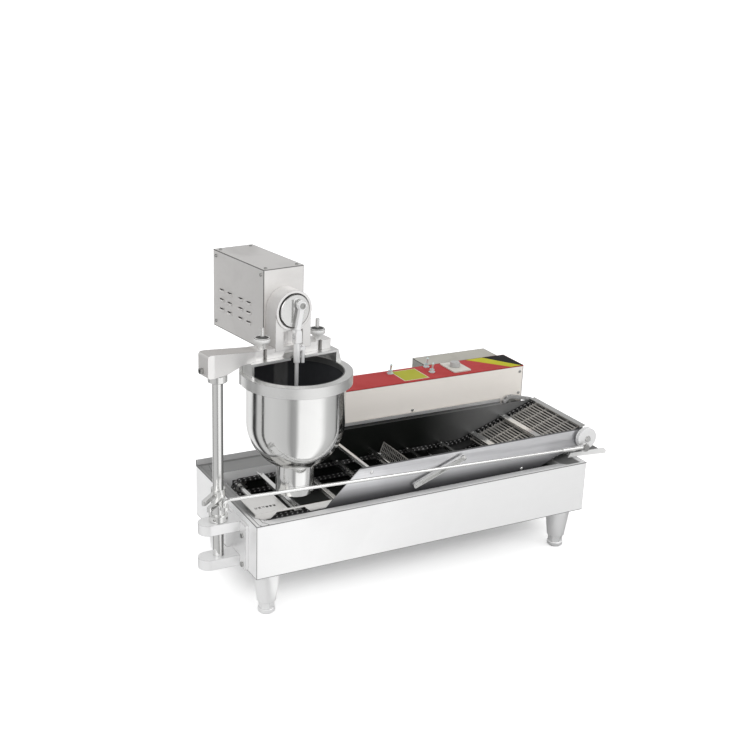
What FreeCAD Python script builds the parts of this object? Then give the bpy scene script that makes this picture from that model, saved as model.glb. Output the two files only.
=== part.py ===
import FreeCAD, Part
import math
import os

from FreeCAD import Vector

# Bench axes (mm): X runs right from the tank's left end, Y back from its front face, Z up from the floor.
# The saved model's origin lies on the floor under the middle of the whole machine.
ORIGIN_X = 444.0
ORIGIN_Y = 230.08

# Casing, oil tank and legs
CASE_LENGTH = 900.0
CASE_DEPTH = 374.0
CASE_BASE = 109.0
CASE_TOP = 238.0
WALL = 2.0
SHEET = 1.5
FIT = 0.1
TANK_LEFT = 40.0
TANK_RIGHT = 850.0
TANK_FRONT = 50.0
TANK_BACK = 335.0
TANK_FLOOR = 128.0
RIM_DROP = 16.0
UPSTAND_HEIGHT = 14.0
LEG_INSET = 44.0
LEG_TOP_RADIUS = 30.0
LEG_END_RADIUS = 22.0
FOOT_HEIGHT = 28.0
STEM_RADIUS = 8.0
ELEMENT_RADIUS = 6.0
ELEMENT_Z = 142.0
ELEMENT_LANES = (90.0, 120.0, 150.0, 180.0, 210.0, 240.0)
ELEMENT_LEFT = 120.0
ELEMENT_RIGHT = 760.0
ELEMENT_TAIL_LEFT = 85.0

# Conveyor: two chains on 8-tooth sprockets, level through the oil and then up an incline
CHAIN_PITCH = 12.7
TEETH = 8
PITCH_RADIUS = CHAIN_PITCH / (2 * math.sin(math.pi / TEETH))
FLIGHT_COUNT = 18
FLIGHT_PITCH = TEETH * CHAIN_PITCH
FLIGHT_BASE = 5.8
FLIGHT_TOP = 14.6
FLIGHT_FLANGE = 18.0
FLIGHT_SHEET = 2.0
FIRST_FLIGHT_X = 119.0
LEVEL_Z = 206.0
BEND_X = 700.0
BEND_RADIUS = 140.0
SHAFT_X = 926.0
SHAFT_Z = 283.6
CHAIN_HALF_HEIGHT = 5.5
CHAIN_ROWS = (66.0, 279.0)
LINK_INNER = 2.9
LINK_OUTER = 4.4
TOOTH_TIP = 3.0
TOOTH_ROOT = 3.6
SPROCKET_HALF = 2.5
SHAFT_RADIUS = 8.0
IDLER_RADIUS = 7.0
RUNNING_FIT = 0.06
PLATE_SHEET = 2.0
PLATE_FRONT = 57.0
PLATE_REAR = 286.0
PLATE_TOP = 306.0
PLATE_SCREWS = ((313.0, 291.0), (741.0, 225.5))
RAIL_LEFT = 284.0
RAIL_RIGHT = 832.0
FLIPPER_X = 432.0
FLIPPER_Z = 243.0
FLIPPER_RADIUS = 4.0
MESH_LOW = (440.0, 211.0)
MESH_HIGH = (460.0, 264.0)
MESH_FRONT = 76.0
MESH_BACK = 269.0
LEVER_END = (565.0, 292.0)
LEVER_FRONT = 44.0
LEVER_BACK = 52.0

# Crank at the end of the drive shaft and the long rod that rocks the hopper
CRANK_FRONT = 37.0
CRANK_BACK = 50.0
CRANK_RADIUS = 28.0
CRANK_PIN = (911.8, 266.8)
CRANK_BOLT_RADIUS = 4.0
CRANK_GAP = 2.6
ROD_Y = 26.9
ROD_RADIUS = 4.0
ROD_BEND = 12.0
ROD_PIN_X = -64.2
ROD_LEFT_Z = 303.0

# Swinging post, arm and hopper head
POST_X = -50.0
POST_Y = 100.5
POST_RADIUS = 12.0
LUGS = ((112.0, 137.0), (197.0, 221.6))
LUG_HALF = 24.0
LUG_END_X = -73.0
BRACKET_SHEET = 8.0
BOLT_RADIUS = 4.0
BRACKET_BOLT_RADIUS = 3.0
BRACKET_BOLTS = [(y, z) for y in (60.0, 141.0) for z in (122.0, 193.0)]
HUB_RADIUS = 16.0
HEAD_YAW = 7.5
HOPPER_U = 196.0
HOPPER_V = -8.0
STUD_SPREAD = 72.5
STUD_V = 29.0
STUD_RADIUS = 4.5
BLOCK_BASE = 566.0
BLOCK_TOP = 619.0
CLAMP_Z = 580.0
BLOCK_FRONT = -24.0
BLOCK_BACK = 18.0
ARM_BASE = 575.0
ARM_TOP = 598.0
ARM_FRONT = 17.0
ARM_BACK = 57.0
ARM_RIGHT = 104.0
CRANK_AXIS_Z = 679.0
HOUSING_RADIUS = 46.0
HOUSING_BORE = 40.0
HOUSING_FRONT = 13.0
TOWER_FRONT = 16.0
HOUSING_WALL = 45.0
HEAD_PIN_U = 11.0
HEAD_PIN_Z = 692.4
PLUNGER_PIN_Z = 632.0
FLANGE_BASE = 520.0
FLANGE_TOP = 545.0
FLANGE_RADIUS = 127.0
MOUTH_RADIUS = 106.0
WALL_TOP = 566.0
BRIDGE_TOP = 574.95
BRIDGE_SHEET = 6.0
BRIDGE_FRONT = 2.0
BRIDGE_NOTCH = 14.0
GUIDE_U = 16.0
GUIDE_RADIUS = 4.0
BRIDGE_BACK = 44.0
BOWL_RADIUS = 112.0
BOWL_CENTRE_Z = 425.0
BOWL_SHEET = 2.0
BOWL_EDGE_Z = 531.7
NECK_RADIUS = 44.0
NECK_BOTTOM = 280.0
NOZZLE_BOTTOM = 253.0
NOZZLE_BORE = 31.0
COVER_HALF = 52.5
COVER_FRONT = 57.3
COVER_BACK = 285.0
COVER_BASE = 584.0
COVER_TOP = 767.0
LOUVRE_COLUMNS = (122.0, 158.0, 208.0, 244.0)
LOUVRE_ROWS = (632.0, 655.0, 678.0)

# Control box behind the conveyor
BOX_LEFT = 330.0
BOX_RIGHT = 905.0
BOX_FRONT = 303.0
BOX_BACK = 401.0
BOX_BASE = 238.3
BOX_TOP = 399.0
PANEL_TOP = 401.0
MOTOR_X = 862.0
MOTOR_Z = 300.0
MOTOR_TEETH = 10
MOTOR_PITCH_RADIUS = CHAIN_PITCH / (2 * math.sin(math.pi / MOTOR_TEETH))
DRIVE_CHAIN_Y = 295.0
REAR_LEFT = 655.0
REAR_RIGHT = 884.0
REAR_BACK = 469.0
REAR_BASE = 250.0
MOTOR_BODY_X = 842.0
MOTOR_BODY_RADIUS = 36.0
GLAND_X = 390.0
GLAND_Z = 275.0
GLAND_RADIUS = 8.0
KNOB_X = 721.0
KNOB_Y = 358.0
KNOB_RADIUS = 14.0
BEZEL_TOP = 404.0
SWITCHES = {"toggle_left": (536.0, 378.0), "toggle_back": (651.0, 388.0), "toggle_front": (643.0, 346.0)}
SWITCH_PIVOT_Z = 405.0
SWITCH_TILT = 12.0
SCREW_RADIUS = 2.0
SCREW_HEAD = 4.0

EAST = Vector(1, 0, 0)
NORTH = Vector(0, 1, 0)
UP = Vector(0, 0, 1)


def box(x0, x1, y0, y1, z0, z1):
    return Part.makeBox(x1 - x0, y1 - y0, z1 - z0, Vector(x0, y0, z0))


def rod(start, end, radius):
    axis = Vector(*end) - Vector(*start)
    return Part.makeCylinder(radius, axis.Length, Vector(*start), axis)


def pillar(x, y, z0, z1, radius):
    return rod((x, y, z0), (x, y, z1), radius)


def cross_rod(x, z, y0, y1, radius):
    return rod((x, y0, z), (x, y1, z), radius)


def joined(solids):
    return solids[0].fuse(solids[1:]).removeSplitter()


def polygon(points):
    corners = [Vector(*p) for p in points]
    return Part.makePolygon(corners + corners[:1])


def prism(points, direction):
    """A flat outline of 3-D points pushed along a direction."""
    return Part.Face(polygon(points)).extrude(Vector(*direction))


def side_prism(points, y0, y1):
    """An outline of (x, z) points pushed from y0 to y1."""
    return prism([(x, y0, z) for x, z in points], (0, y1 - y0, 0))


def plan_prism(points, z0, z1):
    """An outline of (x, y) points pushed from z0 to z1."""
    return prism([(x, y, z0) for x, y in points], (0, 0, z1 - z0))


def turned(profile, x, y):
    """A profile of (radius, z) points turned about the upright line at x, y."""
    face = Part.Face(polygon([(x + r, y, z) for r, z in profile]))
    return face.revolve(Vector(x, y, 0), UP, 360)


def turned_across(profile, x, z):
    """A profile of (radius, y) points turned about the line along Y at x, z."""
    face = Part.Face(polygon([(x + r, y, z) for r, y in profile]))
    return face.revolve(Vector(x, 0, z), NORTH, 360)


def star(radii, x, z, y0, y1):
    """A toothed outline: radii repeated round the circle, pushed from y0 to y1."""
    points = []
    for k, radius in enumerate(radii):
        angle = 2 * math.pi * (k + 0.5) / len(radii)
        points.append((x + radius * math.sin(angle), z + radius * math.cos(angle)))
    return side_prism(points, y0, y1)


def sprocket(teeth, pitch_radius, x, z, y, bore):
    tip = pitch_radius + TOOTH_TIP
    root = pitch_radius - TOOTH_ROOT
    body = star([tip, tip, root, root] * teeth, x, z, y - SPROCKET_HALF, y + SPROCKET_HALF)
    return body.cut(cross_rod(x, z, y - 10, y + 10, bore))


def hex_prism(z0, z1, across_flats):
    corner = across_flats / math.sqrt(3)
    turns = [math.radians(60 * k + 30) for k in range(6)]
    return plan_prism([(corner * math.cos(t), corner * math.sin(t)) for t in turns], z0, z1)


def standing(shape, x, y, z, direction):
    """Turns a shape drawn along +Z from the origin to point along direction from x, y, z."""
    moved = shape.copy()
    moved.Placement = FreeCAD.Placement(Vector(x, y, z), FreeCAD.Rotation(UP, direction))
    return moved


def pan_screw(x, y, z, direction):
    """A pan-head screw whose head stands on a surface at x, y, z, facing along direction."""
    head = turned([(0, 0.05), (SCREW_HEAD, 0.05), (SCREW_HEAD, 1.2), (2.6, 2.4), (0, 2.4)], 0, 0)
    shank = pillar(0, 0, -6, 0.5, SCREW_RADIUS)
    slot = box(-3, 3, -0.5, 0.5, 1.6, 3)
    return standing(head.fuse(shank).cut(slot), x, y, z, direction)


def screw_hole(x, y, z, direction):
    return standing(pillar(0, 0, -8, 2, SCREW_RADIUS + FIT), x, y, z, direction)


def softened(shape, radius, direction):
    """Rounds every straight edge of the shape that runs along the direction."""
    edges = []
    for edge in shape.Edges:
        if edge.Curve.TypeId == "Part::GeomLine" and abs(edge.Curve.Direction.dot(direction)) > 0.999:
            edges.append(edge)
    return shape.makeFillet(radius, edges)


def sheet_box(x0, x1, y0, y1, z0, z1, open_top):
    """A folded sheet box with rounded upright corners."""
    outer = softened(box(x0, x1, y0, y1, z0, z1), 2, UP)
    roof = z1 + 10 if open_top else z1 - SHEET
    return outer.cut(box(x0 + SHEET, x1 - SHEET, y0 + SHEET, y1 - SHEET, z0 + SHEET, roof))


def on_head(shape):
    """Places a shape drawn in the head's own axes: u along the arm and v back, from the hopper's axis."""
    moved = shape.copy()
    moved.translate(Vector(HOPPER_U, HOPPER_V, 0))
    moved.rotate(Vector(0, 0, 0), UP, HEAD_YAW)
    moved.translate(Vector(POST_X, POST_Y, 0))
    return moved


# Casing, oil tank and legs


def outer_casing():
    outer = softened(box(0, CASE_LENGTH, 0, CASE_DEPTH, CASE_BASE, CASE_TOP - WALL), 3, UP)
    inside = box(WALL, CASE_LENGTH - WALL, WALL, CASE_DEPTH - WALL, CASE_BASE + WALL, CASE_TOP)
    holes = [rod((-5, y, z), (5, y, z), BRACKET_BOLT_RADIUS + FIT) for y, z in BRACKET_BOLTS]
    return outer.cut([inside] + holes)


def rim_funnel(lift):
    low = CASE_TOP - RIM_DROP + lift
    outer = [(0, 0), (CASE_LENGTH, 0), (CASE_LENGTH, CASE_DEPTH), (0, CASE_DEPTH)]
    inner = [(TANK_LEFT, TANK_FRONT), (TANK_RIGHT, TANK_FRONT)]
    inner += [(TANK_RIGHT, TANK_BACK), (TANK_LEFT, TANK_BACK)]
    wires = [polygon([(x, y, low) for x, y in inner]), polygon([(x, y, CASE_TOP + lift) for x, y in outer])]
    return Part.makeLoft(wires, True, True)


def rim_solid():
    return rim_funnel(0).cut(rim_funnel(SHEET))


def oil_tank():
    """A pan with a sloping rim, straight walls, a flat floor and a folded upstand at the back left."""
    inside = box(TANK_LEFT, TANK_RIGHT, TANK_FRONT, TANK_BACK, TANK_FLOOR, CASE_TOP + 20)
    hem = box(0, CASE_LENGTH, 0, CASE_DEPTH, CASE_TOP - WALL + FIT, CASE_TOP)
    hem = hem.cut(box(WALL, CASE_LENGTH - WALL, WALL, CASE_DEPTH - WALL, CASE_TOP - 5, CASE_TOP + 5))
    pan = box(
        TANK_LEFT - SHEET, TANK_RIGHT + SHEET, TANK_FRONT - SHEET, TANK_BACK + SHEET,
        TANK_FLOOR - SHEET, CASE_TOP - RIM_DROP + SHEET,
    )
    upstand = box(0, BOX_LEFT - 2, CASE_DEPTH - SHEET, CASE_DEPTH, CASE_TOP - 1, CASE_TOP + UPSTAND_HEIGHT)
    holes = [inside]
    for x in element_tails():
        holes.append(cross_rod(x, ELEMENT_Z, TANK_BACK - 5, TANK_BACK + 5, ELEMENT_RADIUS + FIT))
    return rim_solid().fuse([hem, pan, upstand]).cut(holes).removeSplitter()


def leg_places():
    return [(x, y) for x in (LEG_INSET, CASE_LENGTH - LEG_INSET) for y in (LEG_INSET, CASE_DEPTH - LEG_INSET)]


def legs():
    top = CASE_BASE
    profile = [(0, top), (LEG_TOP_RADIUS, top), (LEG_TOP_RADIUS, top - 16), (LEG_END_RADIUS, FOOT_HEIGHT + 2)]
    profile += [(LEG_END_RADIUS - 2, FOOT_HEIGHT), (0, FOOT_HEIGHT)]
    solids = []
    for x, y in leg_places():
        solids.append(turned(profile, x, y).cut(pillar(x, y, 0, 72, STEM_RADIUS + FIT)))
    return Part.makeCompound(solids)


def levelling_feet():
    solids = []
    for x, y in leg_places():
        pad = turned([(0, 0), (17, 0), (20, 3), (20, 10), (18, 12), (0, 12)], x, y)
        nut = hex_prism(11, FOOT_HEIGHT - 0.3, 32).translated(Vector(x, y, 0))
        solids.append(joined([pad, nut, pillar(x, y, 20, 68, STEM_RADIUS)]))
    return Part.makeCompound(solids)


def element_bend():
    return (ELEMENT_LANES[1] - ELEMENT_LANES[0]) / 2


def element_tails():
    return ELEMENT_TAIL_LEFT - element_bend(), ELEMENT_LEFT - element_bend()


def heating_element():
    """A tube laid in hairpins above the tank floor, with both ends out through the back wall."""
    bend = element_bend()
    pieces = []
    for k, lane in enumerate(ELEMENT_LANES):
        left = ELEMENT_TAIL_LEFT if k == 0 else ELEMENT_LEFT
        pieces.append(rod((left, lane, ELEMENT_Z), (ELEMENT_RIGHT, lane, ELEMENT_Z), ELEMENT_RADIUS))
    for k, lane in enumerate(ELEMENT_LANES[:-1]):
        x, side = (ELEMENT_RIGHT, 1) if k % 2 == 0 else (ELEMENT_LEFT, -1)
        hairpin = Part.makeTorus(bend, ELEMENT_RADIUS, Vector(x, lane + bend, ELEMENT_Z), UP)
        half = box(min(x, x + 40 * side), max(x, x + 40 * side), 0, CASE_DEPTH, 0, CASE_TOP)
        pieces.append(hairpin.common(half))
    for x, lane in zip(element_tails(), (ELEMENT_LANES[0], ELEMENT_LANES[-1])):
        corner = Part.makeTorus(bend, ELEMENT_RADIUS, Vector(x + bend, lane + bend, ELEMENT_Z), UP)
        quarter = box(x - 10, x + bend, lane - 10, lane + bend, 0, CASE_TOP)
        pieces.append(corner.common(quarter))
        pieces.append(cross_rod(x, ELEMENT_Z, lane + bend, TANK_BACK + 24, ELEMENT_RADIUS))
    return joined(pieces)


# Post bracket on the left wall


def post_bracket():
    plate = softened(box(-BRACKET_SHEET, 0, 44, 157, 112, 221.6), 5, EAST)
    solids = [plate]
    for low, high in LUGS:
        solids.append(box(LUG_END_X, -1, POST_Y - LUG_HALF, POST_Y + LUG_HALF, low, high))
        solids.append(pillar(LUG_END_X, POST_Y, low, high, LUG_HALF))
    cuts = [pillar(POST_X, POST_Y, 0, 300, POST_RADIUS + RUNNING_FIT)]
    cuts += [rod((-20, y, z), (20, y, z), BRACKET_BOLT_RADIUS + FIT) for y, z in BRACKET_BOLTS]
    return joined(solids).cut(cuts)


def bracket_bolts():
    solids = []
    for y, z in BRACKET_BOLTS:
        head = hex_prism(0.05, 4.2, 10)
        shank = pillar(0, 0, -16, 1, BRACKET_BOLT_RADIUS)
        nut = hex_prism(-16, -10.2, 10)
        solids.append(standing(joined([head, shank, nut]), -BRACKET_SHEET, y, z, Vector(-1, 0, 0)))
    return Part.makeCompound(solids)


# Conveyor


def incline():
    """Angle of the incline, the bend's centre, the straight incline's length and the idler's X."""
    rise = SHAFT_Z - LEVEL_Z
    run = SHAFT_X - BEND_X
    angle = math.atan2(rise, run)
    cut_back = BEND_RADIUS * math.tan(angle / 2)
    length = math.hypot(rise, run) - cut_back
    half_loop = FLIGHT_COUNT * FLIGHT_PITCH / 2
    centre_x = BEND_X - cut_back
    idler_x = centre_x + BEND_RADIUS * angle + length + math.pi * PITCH_RADIUS - half_loop
    return angle, centre_x, LEVEL_Z + BEND_RADIUS, length, idler_x


def chain_wire(offset, y):
    """The chain's closed path at a distance outside its pitch line."""
    angle, cx, cz, length, idler_x = incline()
    reach = PITCH_RADIUS + offset
    inner = BEND_RADIUS - reach
    outer = BEND_RADIUS + reach

    def at(x, z):
        return Vector(x, y, z)

    def round_bend(radius, turn):
        return at(cx + radius * math.sin(turn), cz - radius * math.cos(turn))

    side = Vector(-math.sin(angle), 0, math.cos(angle))
    along = Vector(math.cos(angle), 0, math.sin(angle))
    drive = at(SHAFT_X, SHAFT_Z)
    top = at(idler_x, LEVEL_Z + reach)
    bottom = at(idler_x, LEVEL_Z - reach)
    edges = [
        Part.makeLine(top, round_bend(inner, 0)),
        Part.Arc(round_bend(inner, 0), round_bend(inner, angle / 2), round_bend(inner, angle)).toShape(),
        Part.makeLine(round_bend(inner, angle), drive + side * reach),
        Part.Arc(drive + side * reach, drive + along * reach, drive - side * reach).toShape(),
        Part.makeLine(drive - side * reach, round_bend(outer, angle)),
        Part.Arc(round_bend(outer, angle), round_bend(outer, angle / 2), round_bend(outer, 0)).toShape(),
        Part.makeLine(round_bend(outer, 0), bottom),
        Part.Arc(bottom, at(idler_x - reach, LEVEL_Z), top).toShape(),
    ]
    return Part.Wire(edges)


def belt(outer, inner, thickness):
    """The band between two closed paths, pushed back by a thickness."""
    push = Vector(0, thickness, 0)
    return Part.Face(outer).extrude(push).cut(Part.Face(inner).extrude(push))


def conveyor_chains():
    solids = []
    for row in CHAIN_ROWS:
        for y in (row - LINK_OUTER, row + LINK_INNER):
            outer = chain_wire(CHAIN_HALF_HEIGHT, y)
            inner = chain_wire(-CHAIN_HALF_HEIGHT, y)
            solids.append(belt(outer, inner, LINK_OUTER - LINK_INNER))
    return Part.makeCompound(solids)


def chain_station(travel):
    """Point and direction on the pitch line after a travel from the idler's top."""
    angle, cx, cz, length, idler_x = incline()
    h = PITCH_RADIUS
    runs = [cx - idler_x, (BEND_RADIUS - h) * angle, length, math.pi * h]
    runs += [length, (BEND_RADIUS + h) * angle, cx - idler_x, math.pi * h]
    k = 0
    while travel > runs[k]:
        travel -= runs[k]
        k += 1
    if k in (1, 5):
        radius = BEND_RADIUS - h if k == 1 else BEND_RADIUS + h
        turn = travel / radius if k == 1 else angle - travel / radius
        heading = turn if k == 1 else turn - math.pi
        return cx + radius * math.sin(turn), cz - radius * math.cos(turn), heading
    starts = {0: (idler_x, LEVEL_Z, 0.0), 6: (cx, LEVEL_Z, -math.pi)}
    foot_x = SHAFT_X - length * math.cos(angle)
    foot_z = SHAFT_Z - length * math.sin(angle)
    starts.update({2: (foot_x, foot_z, angle), 4: (SHAFT_X, SHAFT_Z, angle - math.pi)})
    starts.update({3: (SHAFT_X, SHAFT_Z, angle), 7: (idler_x, LEVEL_Z, -math.pi)})
    x, z, heading = starts[k]
    if k in (3, 7):
        heading -= travel / h
        travel = 0
    x += travel * math.cos(heading) - h * math.sin(heading)
    z += travel * math.sin(heading) + h * math.cos(heading)
    return x, z, heading


def on_path(shape, x, z, heading):
    """Turns a shape drawn round the origin with +X along the path and +Z outward."""
    moved = shape.copy()
    turn = FreeCAD.Rotation(Vector(0, -1, 0), math.degrees(heading))
    moved.Placement = FreeCAD.Placement(Vector(x, 0, z), turn)
    return moved


def flights():
    """Angle bars across both chains: a flat flange on the links and an upright that pushes."""
    front = CHAIN_ROWS[0] - LINK_OUTER
    back = CHAIN_ROWS[1] + LINK_OUTER
    flange = box(0, FLIGHT_FLANGE, front, back, FLIGHT_BASE, FLIGHT_BASE + FLIGHT_SHEET)
    upright = box(0, FLIGHT_SHEET, front, back, FLIGHT_BASE, FLIGHT_TOP)
    bar = joined([flange, upright])
    first = FIRST_FLIGHT_X - incline()[4]
    stations = [chain_station(first + k * FLIGHT_PITCH) for k in range(FLIGHT_COUNT)]
    return Part.makeCompound([on_path(bar, *station) for station in stations])


def side_outline():
    """The conveyor's side plate: low over the oil, sloping up to the rail, round the shaft at the right."""
    points = [(60, 182), (60, 222), (197, 222), (RAIL_LEFT, PLATE_TOP), (930, PLATE_TOP), (944, 300)]
    points += [(950, 288), (948, 274), (938, 264), (902, 252), (846, 242), (700, 178), (690, 175), (80, 175)]
    return points


def shaft_holes(y0, y1):
    idler_x = incline()[4]
    holes = [cross_rod(idler_x, LEVEL_Z, y0, y1, IDLER_RADIUS + 4 + FIT)]
    holes.append(cross_rod(SHAFT_X, SHAFT_Z, y0, y1, SHAFT_RADIUS + 4 + FIT))
    holes.append(cross_rod(FLIPPER_X, FLIPPER_Z, y0, y1, FLIPPER_RADIUS + RUNNING_FIT))
    return holes


def conveyor_side_front():
    plate = side_prism(side_outline(), PLATE_FRONT, PLATE_FRONT + PLATE_SHEET)
    holes = shaft_holes(PLATE_FRONT - 5, PLATE_FRONT + 5)
    holes += [cross_rod(x, z, PLATE_FRONT - 5, PLATE_FRONT + 5, SCREW_RADIUS + FIT) for x, z in PLATE_SCREWS]
    return plate.cut(holes)


def conveyor_side_rear():
    """The rear plate, with a folded lip along its rail."""
    plate = side_prism(side_outline(), PLATE_REAR, PLATE_REAR + PLATE_SHEET)
    shelf = box(RAIL_LEFT + 4, RAIL_RIGHT, PLATE_REAR, 298, PLATE_TOP - PLATE_SHEET, PLATE_TOP)
    lip = box(RAIL_LEFT + 4, RAIL_RIGHT, 298 - PLATE_SHEET, 298, PLATE_TOP - PLATE_SHEET, PLATE_TOP + 12)
    return joined([plate, shelf, lip]).cut(shaft_holes(PLATE_REAR - 5, PLATE_REAR + 5))


def grid_rod_places():
    """Where the two rods under the incline grid run, as (x, z)."""
    angle, cx, cz, length, idler_x = incline()
    places = []
    for along in (40.0, 165.0):
        x = SHAFT_X - (length - along) * math.cos(angle) - (PITCH_RADIUS - 10) * math.sin(angle)
        z = SHAFT_Z - (length - along) * math.sin(angle) + (PITCH_RADIUS - 10) * math.cos(angle)
        places.append((x, z))
    return places


def frame_cross_members():
    """The bar and rods across the conveyor, and two screws through its front plate."""
    inner = PLATE_FRONT + PLATE_SHEET
    solids = [box(300, 308, inner, PLATE_REAR, PLATE_TOP - 8, PLATE_TOP)]
    for x, z in [(250, LEVEL_Z), (600, LEVEL_Z)] + grid_rod_places():
        solids.append(cross_rod(x, z, inner, PLATE_REAR, 4))
    for x, z in PLATE_SCREWS:
        head = turned_across([(0, -1.8), (3, -1.8), (4.5, -0.8), (4.5, -0.05), (0, -0.05)], x, z)
        nut = standing(hex_prism(0, 1.9, 7), x, PLATE_SHEET + 0.05, z, NORTH)
        screw = joined([head, cross_rod(x, z, -0.5, PLATE_SHEET + 1.95, SCREW_RADIUS), nut])
        solids.append(screw.translated(Vector(0, PLATE_FRONT, 0)))
    return Part.makeCompound(solids)


def incline_grid():
    """A slotted slide between the chains over a drip sheet, standing on two rods."""
    angle, cx, cz, length, idler_x = incline()
    start = 6.0
    end = length + 8
    plate = box(start, end, MESH_FRONT, MESH_BACK, -1, 2.5)
    feet = [box(along - 3, along + 3, MESH_FRONT + 4, MESH_BACK - 4, -6, 0) for along in (40, 165)]
    body = joined([plate] + feet)
    slots = []
    bay = (MESH_BACK - MESH_FRONT - 6) / 4
    pitch = (end - start - 4) / 21
    for row in range(21):
        x = start + 4 + row * pitch
        for column in range(4):
            y = MESH_FRONT + 6 + column * bay
            slots.append(box(x, x + pitch - 4, y, y + bay - 6, -10, 5))
    drip_sheet = box(start, end, MESH_FRONT, MESH_BACK, -6, -5)
    body = joined([body.cut(slots), drip_sheet])
    foot_x = SHAFT_X - length * math.cos(angle) - PITCH_RADIUS * math.sin(angle)
    foot_z = SHAFT_Z - length * math.sin(angle) + PITCH_RADIUS * math.cos(angle)
    return on_path(body, foot_x, foot_z, angle)


def flanged_bush(x, z, y, side, bore):
    """A bush through a plate whose outer face is at y; side is -1 for the front plate and 1 for the rear."""
    barrel = bore + 4
    flange = cross_rod(x, z, y, y + 2 * side, barrel + 4)
    body = flange.fuse(cross_rod(x, z, y + 2 * side, y - 3 * side, barrel))
    return body.cut(cross_rod(x, z, y - 9, y + 9, bore + RUNNING_FIT)).removeSplitter()


def shaft_bushes():
    idler_x = incline()[4]
    solids = []
    for y, side in ((PLATE_FRONT, -1), (PLATE_REAR + PLATE_SHEET, 1)):
        solids.append(flanged_bush(idler_x, LEVEL_Z, y, side, IDLER_RADIUS))
        solids.append(flanged_bush(SHAFT_X, SHAFT_Z, y, side, SHAFT_RADIUS))
    return Part.makeCompound(solids)


def start_plate():
    """A slotted cover over the idler end, with a long notched skirt in front and two feet on the tank rim."""
    top = 241.0
    front = PLATE_FRONT - 2
    plate = box(20, 100, front, 144, top - SHEET, top)
    skirt_outline = [(20, 232.5), (40, 224.5), (57, 223.3), (73, top - 4), (141, top - 4), (157, 223)]
    skirt_outline += [(195, 223), (211, top), (20, top)]
    skirt = side_prism(skirt_outline, front, front + SHEET)
    slots = [box(31 + 9 * k, 36.5 + 9 * k, 79, 88, top - 5, top + 5) for k in range(6)]
    feet = []
    for y in (76, 124):
        outline = [(30, 226.4), (34.5, 226.4), (34.5, top), (33, top), (33, 228), (30, 228)]
        feet.append(side_prism(outline, y, y + 12))
    return joined([plate.cut(slots), skirt] + feet).cut(rim_solid())


def discharge_chute():
    """A sloping tray beyond the drive shaft, hung on the casing's right end, with long side lips."""
    outer = CASE_LENGTH + FIT
    floor = [(outer, 239.5), (992, 233), (992, 234.5), (outer, 241)]
    tray = side_prism(floor, 40, 300)
    hanger = box(outer, outer + SHEET, 60, 280, 205, 240)
    lip_outline = [(872, 239.5), (outer, 239.5), (990, 233.2), (994, 240), (984, 249), (878, 251)]
    lips = [side_prism(lip_outline, y, y + SHEET) for y in (40, 300 - SHEET)]
    return joined([tray, hanger] + lips)


# Moving conveyor parts


def drive_shaft():
    shaft = cross_rod(SHAFT_X, SHAFT_Z, 35, 301, SHAFT_RADIUS)
    bolt = standing(hex_prism(0, 4, 11), SHAFT_X, 35.5, SHAFT_Z, Vector(0, -1, 0))
    return shaft.fuse(bolt).removeSplitter()


def drive_sprockets():
    solids = [sprocket(TEETH, PITCH_RADIUS, SHAFT_X, SHAFT_Z, row, SHAFT_RADIUS) for row in CHAIN_ROWS]
    solids.append(sprocket(MOTOR_TEETH, MOTOR_PITCH_RADIUS, SHAFT_X, SHAFT_Z, DRIVE_CHAIN_Y, SHAFT_RADIUS))
    return Part.makeCompound(solids)


def crank_disc():
    """Two flanges with a groove between them."""
    r = CRANK_RADIUS
    front = CRANK_FRONT
    profile = [(0, front), (r - 1, front), (r, front + 1), (r, front + 5), (r - 4, front + 6)]
    profile += [(r - 4, front + 8), (r, front + 9), (r, CRANK_BACK), (0, CRANK_BACK)]
    disc = turned_across(profile, SHAFT_X, SHAFT_Z)
    bore = cross_rod(SHAFT_X, SHAFT_Z, 0, 100, SHAFT_RADIUS)
    pin_hole = cross_rod(CRANK_PIN[0], CRANK_PIN[1], 0, 100, CRANK_BOLT_RADIUS)
    return disc.cut([bore, pin_hole])


def idler_shaft():
    return cross_rod(incline()[4], LEVEL_Z, 53, 293, IDLER_RADIUS)


def idler_sprockets():
    idler_x = incline()[4]
    solids = [sprocket(TEETH, PITCH_RADIUS, idler_x, LEVEL_Z, row, IDLER_RADIUS) for row in CHAIN_ROWS]
    return Part.makeCompound(solids)


def motor_sprocket():
    wheel = sprocket(MOTOR_TEETH, MOTOR_PITCH_RADIUS, MOTOR_X, MOTOR_Z, DRIVE_CHAIN_Y, IDLER_RADIUS - 1)
    return joined([wheel, cross_rod(MOTOR_X, MOTOR_Z, 291, 305.6, IDLER_RADIUS)])


def drive_chain():
    """The short loop from the gear motor to the drive shaft."""
    run = Vector(SHAFT_X - MOTOR_X, 0, SHAFT_Z - MOTOR_Z)
    along = run.normalize()
    side = Vector(-along.z, 0, along.x)
    solids = []
    for y in (DRIVE_CHAIN_Y - LINK_OUTER, DRIVE_CHAIN_Y + LINK_INNER):
        wires = []
        for offset in (CHAIN_HALF_HEIGHT, -CHAIN_HALF_HEIGHT):
            reach = MOTOR_PITCH_RADIUS + offset
            near = Vector(MOTOR_X, y, MOTOR_Z)
            far = Vector(SHAFT_X, y, SHAFT_Z)
            edges = [
                Part.makeLine(near + side * reach, far + side * reach),
                Part.Arc(far + side * reach, far + along * reach, far - side * reach).toShape(),
                Part.makeLine(far - side * reach, near - side * reach),
                Part.Arc(near - side * reach, near - along * reach, near + side * reach).toShape(),
            ]
            wires.append(Part.Wire(edges))
        solids.append(belt(wires[0], wires[1], LINK_OUTER - LINK_INNER))
    return Part.makeCompound(solids)


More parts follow.
